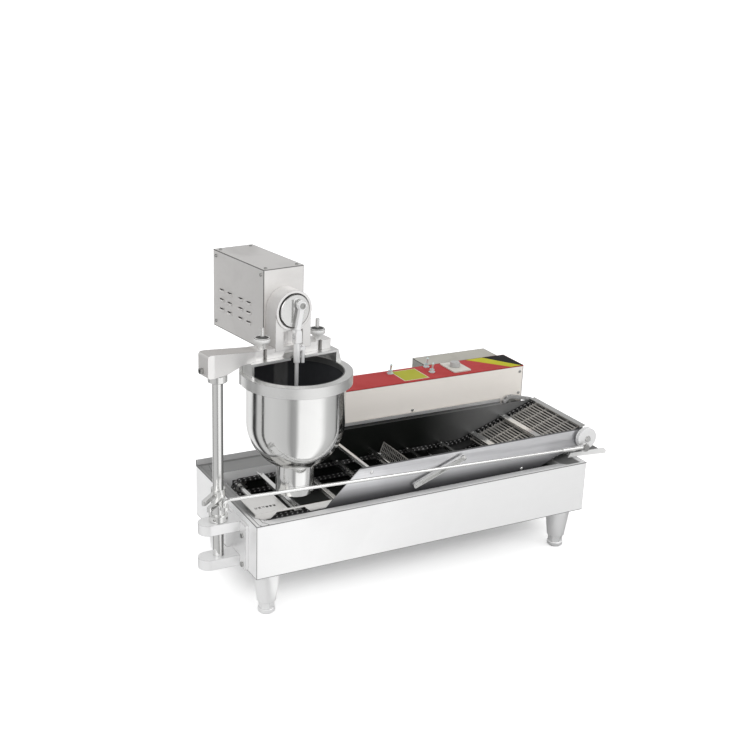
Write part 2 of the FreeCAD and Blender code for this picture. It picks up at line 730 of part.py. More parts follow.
def flipper_shaft():
    """The turner's shaft, with an arm at each end of the mesh."""
    solids = [cross_rod(FLIPPER_X, FLIPPER_Z, LEVER_FRONT - 3, PLATE_REAR + 6, FLIPPER_RADIUS)]
    middle = (0.5 * (MESH_LOW[0] + MESH_HIGH[0]), 0.5 * (MESH_LOW[1] + MESH_HIGH[1]))
    for y in (MESH_FRONT + 12, MESH_BACK - 12):
        solids.append(rod((FLIPPER_X, y, FLIPPER_Z), (middle[0] - 1.2, y, middle[1]), 2.4))
    return joined(solids)


def flipper_mesh():
    """A framed grid of flat bars that lies behind each row."""
    dx = MESH_HIGH[0] - MESH_LOW[0]
    dz = MESH_HIGH[1] - MESH_LOW[1]
    height = math.hypot(dx, dz)
    plate = box(0, height, MESH_FRONT, MESH_BACK, -1.2, 1.2)
    cuts = []
    columns = 12
    rows = 4
    wide = (MESH_BACK - MESH_FRONT - 4) / columns
    tall = (height - 4) / rows
    for column in range(columns):
        for row in range(rows):
            y = MESH_FRONT + 3.5 + column * wide
            cuts.append(box(3.5 + row * tall, 0.5 + (row + 1) * tall, y, y + wide - 3, -4, 4))
    panel = on_path(plate.cut(cuts), MESH_LOW[0] + 3.5, MESH_LOW[1], math.atan2(dz, dx))
    return panel.cut(flipper_shaft())


def flipper_lever():
    """A channel bar on the front end of the turner's shaft."""
    dx = LEVER_END[0] - FLIPPER_X
    dz = LEVER_END[1] - FLIPPER_Z
    length = math.hypot(dx, dz)
    bar = softened(box(-10, length, LEVER_FRONT, LEVER_BACK, -7, 7), 5, NORTH)
    groove = box(12, length - 6, LEVER_FRONT - 1, LEVER_FRONT + 5, -4.5, 4.5)
    bore = cross_rod(0, 0, 0, 100, FLIPPER_RADIUS)
    return on_path(bar.cut([groove, bore]), FLIPPER_X, FLIPPER_Z, math.atan2(dz, dx))


# Link rod


def rod_point(x):
    """Height of the link rod's axis at x."""
    share = (x - ROD_PIN_X) / (CRANK_PIN[0] - ROD_PIN_X)
    return ROD_LEFT_Z + share * (CRANK_PIN[1] - ROD_LEFT_Z)


def link_rod():
    """A round rod bent down at its left end as a pin, with a thicker eye end at the crank."""
    start = ROD_PIN_X + ROD_BEND
    pin = pillar(ROD_PIN_X, ROD_Y, 278, ROD_LEFT_Z - ROD_BEND, ROD_RADIUS)
    bend = Part.makeTorus(ROD_BEND, ROD_RADIUS, Vector(start, ROD_Y, ROD_LEFT_Z - ROD_BEND), NORTH)
    quarter = box(start - 20, start, ROD_Y - 10, ROD_Y + 10, ROD_LEFT_Z - ROD_BEND, ROD_LEFT_Z + 10)
    knuckle = Part.makeSphere(ROD_RADIUS, Vector(start, ROD_Y, ROD_LEFT_Z))
    bar = rod((start, ROD_Y, ROD_LEFT_Z), (CRANK_PIN[0], ROD_Y, CRANK_PIN[1]), ROD_RADIUS)
    fitting = rod((840, ROD_Y, rod_point(840)), (904, ROD_Y, rod_point(904)), 6)
    eye = cross_rod(CRANK_PIN[0], CRANK_PIN[1], ROD_Y - 4, ROD_Y + 4, 11)
    bore = cross_rod(CRANK_PIN[0], CRANK_PIN[1], 0, 100, CRANK_BOLT_RADIUS + RUNNING_FIT)
    return joined([pin, bend.common(quarter), knuckle, bar, fitting, eye]).cut(bore)


def crank_bolt():
    shank = cross_rod(CRANK_PIN[0], CRANK_PIN[1], ROD_Y - 5, CRANK_FRONT - CRANK_GAP, CRANK_BOLT_RADIUS)
    head = standing(hex_prism(0, 5, 15), CRANK_PIN[0], ROD_Y - 4.2, CRANK_PIN[1], Vector(0, -1, 0))
    return shank.fuse(head).removeSplitter()


# Post, lever and arm


def post():
    body = pillar(POST_X, POST_Y, 105, 606, POST_RADIUS)
    return body.makeChamfer(1.0, [edge for edge in body.Edges if edge.Curve.TypeId == "Part::GeomCircle"])


def collar(z0, z1, radius):
    profile = [(POST_RADIUS, z0), (radius - 1, z0), (radius, z0 + 1), (radius, z1 - 1), (radius - 1, z1)]
    return turned(profile + [(POST_RADIUS, z1)], POST_X, POST_Y)


def post_collars():
    low = collar(222.0, 238, 21.5)
    holes = [rod((POST_X, POST_Y, 230), (POST_X + x, POST_Y - 21, 230), 3.2) for x in (-21, 21)]
    return Part.makeCompound([low.cut(holes), collar(550, BLOCK_BASE - 0.1, 21.5)])


def flat_bar(start, end, half_width, z0, z1):
    """A flat bar with a round far end."""
    run = Vector(end[0] - start[0], end[1] - start[1], 0)
    side = Vector(-run.y, run.x, 0).normalize() * half_width
    points = []
    for place, sign in ((start, 1), (start, -1), (end, -1), (end, 1)):
        points.append((place[0] + sign * side.x, place[1] + sign * side.y))
    return plan_prism(points, z0, z1).fuse(pillar(end[0], end[1], z0, z1, half_width))


def swing_lever():
    """A hub on the post with the rod's lever and two hand bars."""
    hub = pillar(POST_X, POST_Y, 238.3, 300, HUB_RADIUS)
    lever = flat_bar((POST_X, POST_Y), (ROD_PIN_X, ROD_Y), 10, 282, 290)
    upper = flat_bar((POST_X, POST_Y), (-101, 53), 5, 288, 298)
    lower = flat_bar((-60, 66), (-98, 30), 5, 282, 292)
    cuts = [pillar(POST_X, POST_Y, 200, 400, POST_RADIUS)]
    cuts.append(pillar(ROD_PIN_X, ROD_Y, 200, 400, ROD_RADIUS + RUNNING_FIT))
    return joined([hub, lever, upper, lower]).cut(cuts)


def arm_section(u, v0, v1, z0, z1):
    return polygon([(u, v0, z0), (u, v1, z0), (u, v1, z1), (u, v0, z1)])


def arm_casting():
    """A block on the post, drawn out into a flat arm over the hopper, with the crank housing on top."""
    post_u = -HOPPER_U
    post_v = -HOPPER_V
    block_front = post_v + BLOCK_FRONT
    block_back = post_v + BLOCK_BACK
    start = post_u - 20
    stop = -96.0
    block = softened(box(post_u - 36, start + 30, block_front, block_back, BLOCK_BASE, BLOCK_TOP), 7, NORTH)
    block = block.cut(box(start, start + 40, block_front - 5, block_back + 5, BLOCK_BASE - 5, BLOCK_TOP + 5))
    sections = []
    for k in range(7):
        along = k / 6
        front = block_front + (ARM_FRONT - block_front) * along
        back = block_back + (ARM_BACK - block_back) * along
        low = BLOCK_BASE + (ARM_BASE - BLOCK_BASE) * min(1, max(0, 3 * along - 1))
        high = BLOCK_TOP + (ARM_TOP - BLOCK_TOP) * along
        sections.append(arm_section(start + (stop - start) * along, front, back, low, high))
    neck = Part.makeLoft(sections, True, True)
    beam = softened(box(stop, ARM_RIGHT, ARM_FRONT, ARM_BACK, ARM_BASE, ARM_TOP), 5, UP)
    root = box(stop, stop + 12, ARM_FRONT, ARM_BACK, ARM_BASE, ARM_TOP)
    tower = box(-HOUSING_RADIUS, HOUSING_RADIUS, TOWER_FRONT, ARM_BACK, ARM_TOP - 8, CRANK_AXIS_Z)
    dome = cross_rod(0, CRANK_AXIS_Z, HOUSING_FRONT, ARM_BACK, HOUSING_RADIUS)
    body = joined([block, neck, beam, root, tower, dome])
    cuts = [cross_rod(0, CRANK_AXIS_Z, 0, HOUSING_WALL, HOUSING_BORE)]
    cuts.append(cross_rod(0, CRANK_AXIS_Z, 0, 100, SHAFT_RADIUS + RUNNING_FIT))
    cuts.append(box(-25, 25, 0, 30, ARM_TOP, CRANK_AXIS_Z - HOUSING_RADIUS))
    window = [(-28, ARM_BASE - 1), (-18, ARM_BASE + 13), (18, ARM_BASE + 13), (28, ARM_BASE - 1)]
    cuts.append(side_prism(window, 0, 34))
    cuts.append(pillar(post_u, post_v, 500, 607, POST_RADIUS))
    for u in (-STUD_SPREAD, STUD_SPREAD):
        cuts.append(pillar(u, STUD_V, 500, 700, STUD_RADIUS + 0.7))
        cuts.append(box(u - STUD_RADIUS - 0.7, u + STUD_RADIUS + 0.7, 0, STUD_V, 500, 700))
    cuts.append(rod((post_u - 50, post_v, CLAMP_Z), (post_u, post_v, CLAMP_Z), BOLT_RADIUS + FIT))
    return on_head(body.cut(cuts))


def arm_clamp_screw():
    head = pillar(0, 0, 0.05, 7, 6.5).cut(hex_prism(3, 8, 6))
    shank = pillar(0, 0, -23.5, 1, BOLT_RADIUS)
    return on_head(standing(head.fuse(shank), -HOPPER_U - 36, -HOPPER_V, CLAMP_Z, Vector(-1, 0, 0)))


# Hopper


def hopper_flange():
    """A ring round the bowl's edge, a low wall behind, and a notched bar across that carries the studs."""
    low = FLANGE_BASE
    rear = [(-122, 16), (-122, 44), (-80, 104), (80, 104), (122, 44), (122, 16)]
    outer = pillar(0, 0, low, FLANGE_TOP, FLANGE_RADIUS).fuse(plan_prism(rear, low, FLANGE_TOP))
    mouth = pillar(0, 0, low - 5, FLANGE_TOP + 5, MOUTH_RADIUS)
    seat = pillar(0, 0, low - 5, BOWL_EDGE_Z + 0.3, BOWL_RADIUS + FIT)
    bridge = [box(-114, 114, BRIDGE_FRONT, BRIDGE_BACK, BRIDGE_TOP - BRIDGE_SHEET, BRIDGE_TOP)]
    for side, reach in ((-1, 114), (1, 122)):
        foot = [(side * 108, FLANGE_TOP - 4), (side * reach, FLANGE_TOP - 4), (side * reach, FLANGE_TOP + 2)]
        foot += [(side * 114, BRIDGE_TOP), (side * 108, BRIDGE_TOP)]
        bridge.append(side_prism(foot, BRIDGE_FRONT, BRIDGE_BACK))
    wall = plan_prism(rear, FLANGE_TOP - 1, WALL_TOP)
    hollow = [(-116, 10), (-116, 42), (-77, 98), (77, 98), (116, 42), (116, 10)]
    wall = wall.cut([plan_prism(hollow, low, BRIDGE_TOP), box(-130, 130, 0, BRIDGE_BACK, low, BRIDGE_TOP)])
    holes = [pillar(u, STUD_V, 500, 700, STUD_RADIUS) for u in (-STUD_SPREAD, STUD_SPREAD)]
    holes.append(pillar(0, 0, FLANGE_TOP, 700, BRIDGE_NOTCH))
    holes.append(pillar(GUIDE_U, 0, FLANGE_TOP, 700, GUIDE_RADIUS + 4))
    ring = outer.removeSplitter().cut([mouth, seat])
    return on_head(ring.fuse(bridge + [wall]).removeSplitter().cut(holes))


def hopper_bowl():
    """A spun bowl: straight wall, round bottom and a neck."""
    r = BOWL_RADIUS
    inner = r - BOWL_SHEET
    neck = NECK_RADIUS
    cz = BOWL_CENTRE_Z
    outer_z = cz - math.sqrt(r * r - neck * neck)
    inner_neck = neck - BOWL_SHEET
    inner_z = cz - math.sqrt(inner * inner - inner_neck * inner_neck)

    def at(radius, z):
        return Vector(radius, 0, z)

    def arc(radius, start, end):
        middle = 0.5 * (start + end)
        points = [at(radius * math.cos(t), cz - radius * math.sin(t)) for t in (start, middle, end)]
        return Part.Arc(*points).toShape()

    outer_turn = math.acos(neck / r)
    inner_turn = math.acos(inner_neck / inner)
    edges = [
        Part.makeLine(at(r, BOWL_EDGE_Z), at(r, cz)),
        arc(r, 0, outer_turn),
        Part.makeLine(at(neck, outer_z), at(neck, NECK_BOTTOM)),
        Part.makeLine(at(neck, NECK_BOTTOM), at(inner_neck, NECK_BOTTOM)),
        Part.makeLine(at(inner_neck, NECK_BOTTOM), at(inner_neck, inner_z)),
        arc(inner, inner_turn, 0),
        Part.makeLine(at(inner, cz), at(inner, BOWL_EDGE_Z)),
        Part.makeLine(at(inner, BOWL_EDGE_Z), at(r, BOWL_EDGE_Z)),
    ]
    face = Part.Face(Part.Wire(Part.__sortEdges__(edges)))
    return on_head(face.revolve(Vector(0, 0, 0), UP, 360))


def hopper_nozzle():
    """A collar in the neck's lower end with the dough cylinder through it."""
    inside = NECK_RADIUS - BOWL_SHEET - FIT
    bottom = NOZZLE_BOTTOM
    profile = [(NOZZLE_BORE, bottom), (NECK_RADIUS - 1, bottom), (NECK_RADIUS, bottom + 1)]
    profile += [(NECK_RADIUS, NECK_BOTTOM - 0.1), (inside, NECK_BOTTOM - 0.1), (inside, NECK_BOTTOM + 16)]
    profile += [(NOZZLE_BORE + 3, NECK_BOTTOM + 16), (NOZZLE_BORE, NECK_BOTTOM + 8)]
    return on_head(turned(profile, 0, 0))


def hopper_studs():
    low = BRIDGE_TOP - BRIDGE_SHEET
    solids = [pillar(u, STUD_V, low, 647, STUD_RADIUS) for u in (-STUD_SPREAD, STUD_SPREAD)]
    return on_head(Part.makeCompound(solids))


def thumb_nut(u):
    base = ARM_TOP + 0.2
    profile = [(0, base), (8.5, base), (8.5, base + 6), (12, base + 12), (18, base + 16), (18, base + 25)]
    profile += [(16.5, base + 27), (0, base + 27)]
    bore = pillar(u, STUD_V, 500, 700, STUD_RADIUS + RUNNING_FIT)
    return on_head(turned(profile, u, STUD_V).cut(bore))


# Head drive


def cover_screw_places():
    places = []
    for v in (70.0, COVER_BACK - 13):
        for z in (COVER_BASE + 13, COVER_TOP - 13):
            places.append((-COVER_HALF, v, z, Vector(-1, 0, 0)))
            places.append((COVER_HALF, v, z, EAST))
        for u in (-COVER_HALF + 12, COVER_HALF - 12):
            places.append((u, v, COVER_TOP, UP))
    return places


def motor_cover():
    """A sheet cover with a shaft hole in front and louvre slots in both sides."""
    body = sheet_box(-COVER_HALF, COVER_HALF, COVER_FRONT, COVER_BACK, COVER_BASE, COVER_TOP, False)
    cuts = [cross_rod(0, CRANK_AXIS_Z, COVER_FRONT - 5, COVER_FRONT + 10, 12)]
    for v in LOUVRE_COLUMNS:
        for z in LOUVRE_ROWS:
            cuts.append(box(-COVER_HALF - 5, COVER_HALF + 5, v - 9, v + 9, z - 2, z + 2))
    cuts += [screw_hole(*place) for place in cover_screw_places()]
    return on_head(body.cut(cuts))


def cover_screws():
    return on_head(Part.makeCompound([pan_screw(*place) for place in cover_screw_places()]))


def head_gear_motor():
    front = COVER_FRONT + SHEET + 0.4
    box_part = softened(box(-40, 40, front, 100, CRANK_AXIS_Z - 40, CRANK_AXIS_Z + 40), 4, NORTH)
    can = cross_rod(0, CRANK_AXIS_Z, 100, 228, 35)
    terminal = box(-18, 18, 130, 190, CRANK_AXIS_Z + 30, CRANK_AXIS_Z + 52)
    return on_head(joined([box_part, can, terminal]))


def head_crank_disc():
    """A disc on the gear motor's shaft, with a straight groove and a boss for the crank pin on its face."""
    axis = CRANK_AXIS_Z
    disc = turned_across([(0, 9.2), (36, 9.2), (37, 10.2), (37, 18), (0, 18)], 0, axis)
    shaft = cross_rod(0, axis, 17, COVER_FRONT + SHEET + 0.2, SHAFT_RADIUS)
    boss = cross_rod(HEAD_PIN_U, HEAD_PIN_Z, 4.8, 10, 9)
    groove = box(-9.5, -4.5, 0, 13, axis - 25, axis + 27)
    return on_head(joined([disc, shaft, boss]).cut(groove))


def link_heading():
    return math.atan2(HEAD_PIN_Z - PLUNGER_PIN_Z, HEAD_PIN_U)


def connecting_link():
    """A flat link from the crank pin down to the plunger."""
    length = math.hypot(HEAD_PIN_Z - PLUNGER_PIN_Z, HEAD_PIN_U)
    solids = [box(0, length, -4, 4, -6, 6), cross_rod(length, 0, -4, 4, 11), cross_rod(0, 0, -4, 4, 8.5)]
    cuts = [cross_rod(length, 0, -9, 9, 5), cross_rod(0, 0, -9, 9, BOLT_RADIUS + RUNNING_FIT)]
    return on_head(on_path(joined(solids).cut(cuts), 0, PLUNGER_PIN_Z, link_heading()))


def link_bolt():
    shank = cross_rod(HEAD_PIN_U, HEAD_PIN_Z, -5, 4.3, 5)
    cap = pillar(0, 0, 0, 2.2, 6.8).cut(hex_prism(1, 3, 7))
    head = standing(cap, HEAD_PIN_U, -4.05, HEAD_PIN_Z, Vector(0, -1, 0))
    return on_head(joined([shank, head]))


def plunger_rod():
    """A fork with its pin, a thick upper part and a thin rod down to the cutter."""
    pin_z = PLUNGER_PIN_Z
    cheeks = []
    for v0, v1 in ((-8, -4.4), (4.4, 8)):
        cheeks.append(cross_rod(0, pin_z, v0, v1, 8))
        cheeks.append(box(-8, 8, v0, v1, pin_z - 18, pin_z))
    base = box(-8, 8, -8, 8, pin_z - 23, pin_z - 14)
    pin = cross_rod(0, pin_z, -8, 8, BOLT_RADIUS)
    stem = pillar(0, 0, 289, pin_z - 20, 4.5)
    return on_head(joined(cheeks + [base, pin, stem]))


def plunger_sleeve():
    """A clamped sleeve on the rod with a short guide pin beside it."""
    sleeve = pillar(0, 0, 563, PLUNGER_PIN_Z - 23.1, 7.6)
    arm = box(0, GUIDE_U + GUIDE_RADIUS, -4, 4, 590, 598)
    guide = pillar(GUIDE_U, 0, 560, 600, GUIDE_RADIUS)
    return on_head(joined([sleeve, arm, guide]).cut(pillar(0, 0, 500, 700, 4.5)))


def plunger_cutter():
    profile = [(0, 271), (30, 271), (30.6, 272), (30.6, 282), (29, 284), (10, 289), (10, 300), (0, 300)]
    return on_head(turned(profile, 0, 0).cut(pillar(0, 0, 288.8, 400, 4.5)))


# Control box


def control_screw_places():
    south = Vector(0, -1, 0)
    places = [(BOX_RIGHT - 12, BOX_FRONT, z, south) for z in (BOX_TOP - 14, BOX_TOP - 74)]
    places += [(BOX_LEFT + 12, BOX_FRONT, z, south) for z in (BOX_TOP - 14, BOX_TOP - 74)]
    places.append((563, BOX_FRONT, 323, south))
    places += [(BOX_RIGHT, y, z, EAST) for y in (318, 386) for z in (262, 384)]
    return places


def control_box_shell():
    body = sheet_box(BOX_LEFT, BOX_RIGHT, BOX_FRONT, BOX_BACK, BOX_BASE, BOX_TOP, True)
    cuts = [cross_rod(MOTOR_X, MOTOR_Z, BOX_FRONT - 5, BOX_FRONT + 5, 9)]
    cuts.append(cross_rod(MOTOR_BODY_X, MOTOR_Z, BOX_BACK - 5, BOX_BACK + 5, MOTOR_BODY_RADIUS + 2))
    cuts.append(cross_rod(GLAND_X, GLAND_Z, BOX_BACK - 5, BOX_BACK + 5, GLAND_RADIUS + FIT))
    cuts += [screw_hole(*place) for place in control_screw_places()]
    return body.cut(cuts)


def control_panel():
    plate = softened(box(BOX_LEFT, BOX_RIGHT, BOX_FRONT, BOX_BACK, BOX_TOP + 0.05, PANEL_TOP), 2, UP)
    cuts = [pillar(x, y, 300, 500, 6.2) for x, y in SWITCHES.values()]
    cuts.append(pillar(KNOB_X, KNOB_Y, 300, 500, 4.5))
    return plate.cut(cuts)


def control_screws():
    return Part.makeCompound([pan_screw(*place) for place in control_screw_places()])


def motor_housing():
    """A sheet cover over the gear motor's tail, open towards the control box."""
    back = BOX_BACK + 0.1
    outer = softened(box(REAR_LEFT, REAR_RIGHT, back, REAR_BACK, REAR_BASE, PANEL_TOP), 2, UP)
    low = REAR_BASE + SHEET
    high = PANEL_TOP - SHEET
    inside = box(REAR_LEFT + SHEET, REAR_RIGHT - SHEET, back - 5, REAR_BACK - SHEET, low, high)
    slots = [box(690 + 22 * k, 702 + 22 * k, REAR_BACK - 5, REAR_BACK + 5, 300, 350) for k in range(4)]
    return outer.cut([inside] + slots)


def conveyor_gear_motor():
    gearbox = softened(box(806, 888, 306, 346, 262, 338), 4, NORTH)
    can = cross_rod(MOTOR_BODY_X, MOTOR_Z, 346, 452, MOTOR_BODY_RADIUS)
    return joined([gearbox, can])


def knob_bezel():
    plate = softened(box(695, 748, 318, 394, PANEL_TOP + 0.05, BEZEL_TOP), 4, UP)
    return plate.cut(pillar(KNOB_X, KNOB_Y, 300, 500, 4.5))


def speed_knob():
    base = BEZEL_TOP + 0.4
    profile = [(0, base), (KNOB_RADIUS, base), (KNOB_RADIUS - 1, base + 11), (KNOB_RADIUS - 2.5, base + 12.5)]
    knob = turned(profile + [(0, base + 13)], KNOB_X, KNOB_Y)
    stem = pillar(KNOB_X, KNOB_Y, BOX_TOP - 10, base + 2, 4)
    mark = box(KNOB_X - 0.8, KNOB_X + 0.8, KNOB_Y - 20, KNOB_Y - 6, base + 11.8, base + 30)
    return joined([knob, stem]).cut(mark)


def switch_bodies():
    """The fixed parts of the switches: a case under the panel, a bush and a nut."""
    solids = []
    for x, y in SWITCHES.values():
        case = box(x - 7, x + 7, y - 11, y + 11, BOX_TOP - 24, BOX_TOP - 0.1)
        bush = pillar(x, y, BOX_TOP - 1, PANEL_TOP + 9, 6)
        nut = hex_prism(PANEL_TOP + 0.05, PANEL_TOP + 3, 15).translated(Vector(x, y, 0))
        well = turned([(0, SWITCH_PIVOT_Z - 5), (4.2, SWITCH_PIVOT_Z - 5), (4.2, 430), (0, 430)], x, y)
        solids.append(joined([case, bush, nut]).cut(well))
    return Part.makeCompound(solids)


def toggle(x, y):
    """A lever on a ball and a cross pin, leaning towards the front in its off position."""
    z = SWITCH_PIVOT_Z
    ball = Part.makeSphere(3.6, Vector(x, y, z))
    pin = rod((x - 4, y, z), (x + 4, y, z), 1.2)
    stick = turned([(0, z), (1.9, z), (2.1, z + 8), (3.2, z + 22), (2.4, z + 24), (0, z + 24)], x, y)
    body = joined([ball, pin, stick])
    body.rotate(Vector(x, y, z), EAST, SWITCH_TILT)
    return body


def cable_gland():
    base = BOX_BACK
    barrel = cross_rod(GLAND_X, GLAND_Z, base - 10, base + 18, GLAND_RADIUS)
    nut = standing(hex_prism(0.05, 7, 22), GLAND_X, base, GLAND_Z, NORTH)
    cap = standing(hex_prism(8, 18, 20), GLAND_X, base, GLAND_Z, NORTH)
    lock = standing(hex_prism(-7, -SHEET - 0.05, 22), GLAND_X, base, GLAND_Z, NORTH)
    return joined([barrel, nut, cap, lock]).cut(cross_rod(GLAND_X, GLAND_Z, base - 20, base + 30, 4.5))


PARTS = {
    "outer_casing": outer_casing,
    "oil_tank": oil_tank,
    "legs": legs,
    "levelling_feet": levelling_feet,
    "heating_element": heating_element,
    "post_bracket": post_bracket,
    "bracket_bolts": bracket_bolts,
    "conveyor_side_front": conveyor_side_front,
    "conveyor_side_rear": conveyor_side_rear,
    "frame_cross_members": frame_cross_members,
    "incline_grid": incline_grid,
    "conveyor_chains": conveyor_chains,
    "flights": flights,
    "shaft_bushes": shaft_bushes,
    "start_plate": start_plate,
    "discharge_chute": discharge_chute,
    "drive_shaft": drive_shaft,
    "drive_sprockets": drive_sprockets,
    "crank_disc": crank_disc,
    "idler_shaft": idler_shaft,
    "idler_sprockets": idler_sprockets,
    "motor_sprocket": motor_sprocket,
    "drive_chain": drive_chain,
    "flipper_shaft": flipper_shaft,
    "flipper_mesh": flipper_mesh,
    "flipper_lever": flipper_lever,
    "link_rod": link_rod,
    "crank_bolt": crank_bolt,
    "post": post,
    "post_collars": post_collars,
    "swing_lever": swing_lever,
    "arm_casting": arm_casting,
    "arm_clamp_screw": arm_clamp_screw,
    "hopper_flange": hopper_flange,
    "hopper_bowl": hopper_bowl,
    "hopper_nozzle": hopper_nozzle,
    "hopper_studs": hopper_studs,
    "motor_cover": motor_cover,
    "cover_screws": cover_screws,
    "head_gear_motor": head_gear_motor,
    "head_crank_disc": head_crank_disc,
    "connecting_link": connecting_link,
    "link_bolt": link_bolt,
    "plunger_rod": plunger_rod,
    "plunger_sleeve": plunger_sleeve,
    "plunger_cutter": plunger_cutter,
    "control_box_shell": control_box_shell,
    "control_panel": control_panel,
    "control_screws": control_screws,
    "motor_housing": motor_housing,
    "conveyor_gear_motor": conveyor_gear_motor,
    "knob_bezel": knob_bezel,
    "speed_knob": speed_knob,
    "switch_bodies": switch_bodies,
    "cable_gland": cable_gland,
}


def save(name, shape):
    placed = shape.copy()
    placed.translate(Vector(-ORIGIN_X, -ORIGIN_Y, 0))
    placed.exportStep("parts/%s.step" % name)


os.makedirs("parts", exist_ok=True)
for part_name, build in PARTS.items():
    save(part_name, build())
save("thumb_nut_left", thumb_nut(-STUD_SPREAD))
save("thumb_nut_right", thumb_nut(STUD_SPREAD))
for part_name, place in SWITCHES.items():
    save(part_name, toggle(*place))
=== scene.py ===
"""Looks of the donut maker: camera, stage, finishes, and the fine pieces that stand for plain solids."""
import math

import bmesh
import bpy
import numpy as np
from mathutils import Matrix


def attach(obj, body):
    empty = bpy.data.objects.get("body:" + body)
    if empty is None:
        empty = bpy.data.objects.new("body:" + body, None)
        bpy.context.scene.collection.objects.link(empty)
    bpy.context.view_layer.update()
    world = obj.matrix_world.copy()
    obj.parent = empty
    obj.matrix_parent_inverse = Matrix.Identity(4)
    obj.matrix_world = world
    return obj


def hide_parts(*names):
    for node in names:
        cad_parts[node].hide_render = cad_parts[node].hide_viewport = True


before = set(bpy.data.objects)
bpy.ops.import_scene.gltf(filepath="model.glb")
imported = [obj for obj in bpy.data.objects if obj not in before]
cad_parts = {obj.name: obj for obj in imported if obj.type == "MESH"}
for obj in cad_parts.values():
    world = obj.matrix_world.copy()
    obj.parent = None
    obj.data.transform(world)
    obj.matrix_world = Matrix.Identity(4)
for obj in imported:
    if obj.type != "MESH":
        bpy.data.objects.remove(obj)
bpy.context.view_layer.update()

# Bench axes (mm): X right from the tank's left end, Y back from its front face, Z up from the floor.
ORIGIN = np.array([444.0, 230.08, 0.0])
HEAD_YAW = math.radians(7.5)
POST = (-50.0, 100.5)
HOPPER_U = 196.0
HOPPER_V = -8.0

# Camera of the photograph, on the bench
CAMERA_PLACE = (-964.7, -2233.6, 1434.7)
CAMERA_TURN = math.radians(-29.12)
CAMERA_TILT = math.radians(18.66)
CAMERA_ROLL = math.radians(2.18)
CAMERA_LENS = 58.93
CAMERA_SENSOR = 36.0
CAMERA_SHIFT = (0.0001, -0.0105)

# Conveyor
CHAIN_PITCH = 12.7
TEETH = 8
PITCH_RADIUS = CHAIN_PITCH / (2 * math.sin(math.pi / TEETH))
FLIGHT_COUNT = 18
FLIGHT_PITCH = TEETH * CHAIN_PITCH
FIRST_FLIGHT_X = 119.0
FLIGHT_FACE = 7.8
LEVEL_Z = 206.0
BEND_X = 700.0
BEND_RADIUS = 140.0
SHAFT_X = 926.0
SHAFT_Z = 283.6
CHAIN_ROWS = (66.0, 279.0)
MOTOR_X = 862.0
MOTOR_Z = 300.0
MOTOR_TEETH = 10
MOTOR_RADIUS = CHAIN_PITCH / (2 * math.sin(math.pi / MOTOR_TEETH))
DRIVE_CHAIN_Y = 295.0

# Chain links
PLATE_HALF = 5.2
PLATE_THICK = 0.7
PLATE_ROUNDING = 0.45
PLATE_WAIST = 0.2
WAIST_SHARPNESS = 6
PLATE_PAIRS = (3.75, 2.95)
ROLLER_HALF = 2.8
ROLLER_RADIUS = 3.4
PIN_HALF = 5.0
PIN_RADIUS = 2.1
SCREW_PLACES = (6.0, 13.0)

# Incline grid and turner mesh
GRID_FRONT = 76.0
GRID_BACK = 269.0
GRID_START = 6.0
GRID_LENGTH = 217.5
GRID_WIRES = 25
GRID_WIRE_RADIUS = 1.65
GRID_WIRE_LIFT = 0.8
GRID_END_GAP = 1.7
GRID_BARS = 5
GRID_BAR_INSET = 4.0
GRID_BAR_HALF = 1.2
GRID_BAR_TOP = 0.4
GRID_BAR_FOOT = -5.0
SHEET_FOOT = -6.0
MESH_LOW = (440.0, 211.0)
MESH_HIGH = (460.0, 264.0)
MESH_OFFSET = 3.5
MESH_UPRIGHTS = 25
MESH_ROWS = 6
FRAME_WIRE = 1.6
MESH_WIRE = 0.9
WIRE_CROSSING = 0.4

# Head
COVER_HALF = 52.5
LOUVRE_COLUMNS = (122.0, 158.0, 208.0, 244.0)
LOUVRE_ROWS = (632.0, 655.0, 678.0)
HOOD_HALF = 10.0
HOOD_TALL = 5.8
HOOD_FOOT = -5.0
HOOD_OUT = 3.4
HOOD_CLEAR = 0.3
STUD_SPREAD = 72.5
STUD_V = 29.0
NUT_BORE = 4.6
NUT_BASE = 598.2
NUT_FLUTES = 32
NUT_KNURL = 0.018
NUT_SIDES = 96

# Control panel
PANEL_TOP = 401.0
KNOB = (721.0, 358.0)
KNOB_BASE = 404.4
KNOB_FLUTES = 24
KNOB_KNURL = 0.012
KNOB_SIDES = 72
PATCH_FOOT = 0.02
BORDER = [(543, 313), (616, 313), (616, 390), (543, 390)]
LABEL = [(545, 315), (614, 315), (614, 388), (545, 388)]
STRIPE = [(781, 400), (864, 304), (897, 304), (834, 400)]
CORNER = [(834, 400), (897, 304), (904, 304), (904, 400)]


# Shapes: every function gives points (bench mm) and faces


def to_model(points):
    """Bench millimetres to the model's metres: take away the origin's place and divide by a thousand."""
    return (np.asarray(points, float) - ORIGIN) / 1000.0


def on_head(points):
    """Head axes to bench axes: shift out from the post, turn by the arm's yaw, shift to the post."""
    p = np.asarray(points, float) + (HOPPER_U, HOPPER_V, 0.0)
    c, s = math.cos(HEAD_YAW), math.sin(HEAD_YAW)
    x = POST[0] + c * p[..., 0] - s * p[..., 1]
    y = POST[1] + s * p[..., 0] + c * p[..., 1]
    return np.stack([x, y, p[..., 2]], -1)


def grid_faces(rows, columns, round_rows=False, round_columns=False):
    """Four-sided faces between neighbours of a rows by columns grid of points, closed round where asked."""
    i = np.arange(rows if round_rows else rows - 1)
    j = np.arange(columns if round_columns else columns - 1)
    a, b = np.meshgrid(i, j, indexing="ij")
    c, d = (a + 1) % rows, (b + 1) % columns
    faces = np.stack([a * columns + b, c * columns + b, c * columns + d, a * columns + d], -1)
    return faces.reshape(-1, 4).tolist()


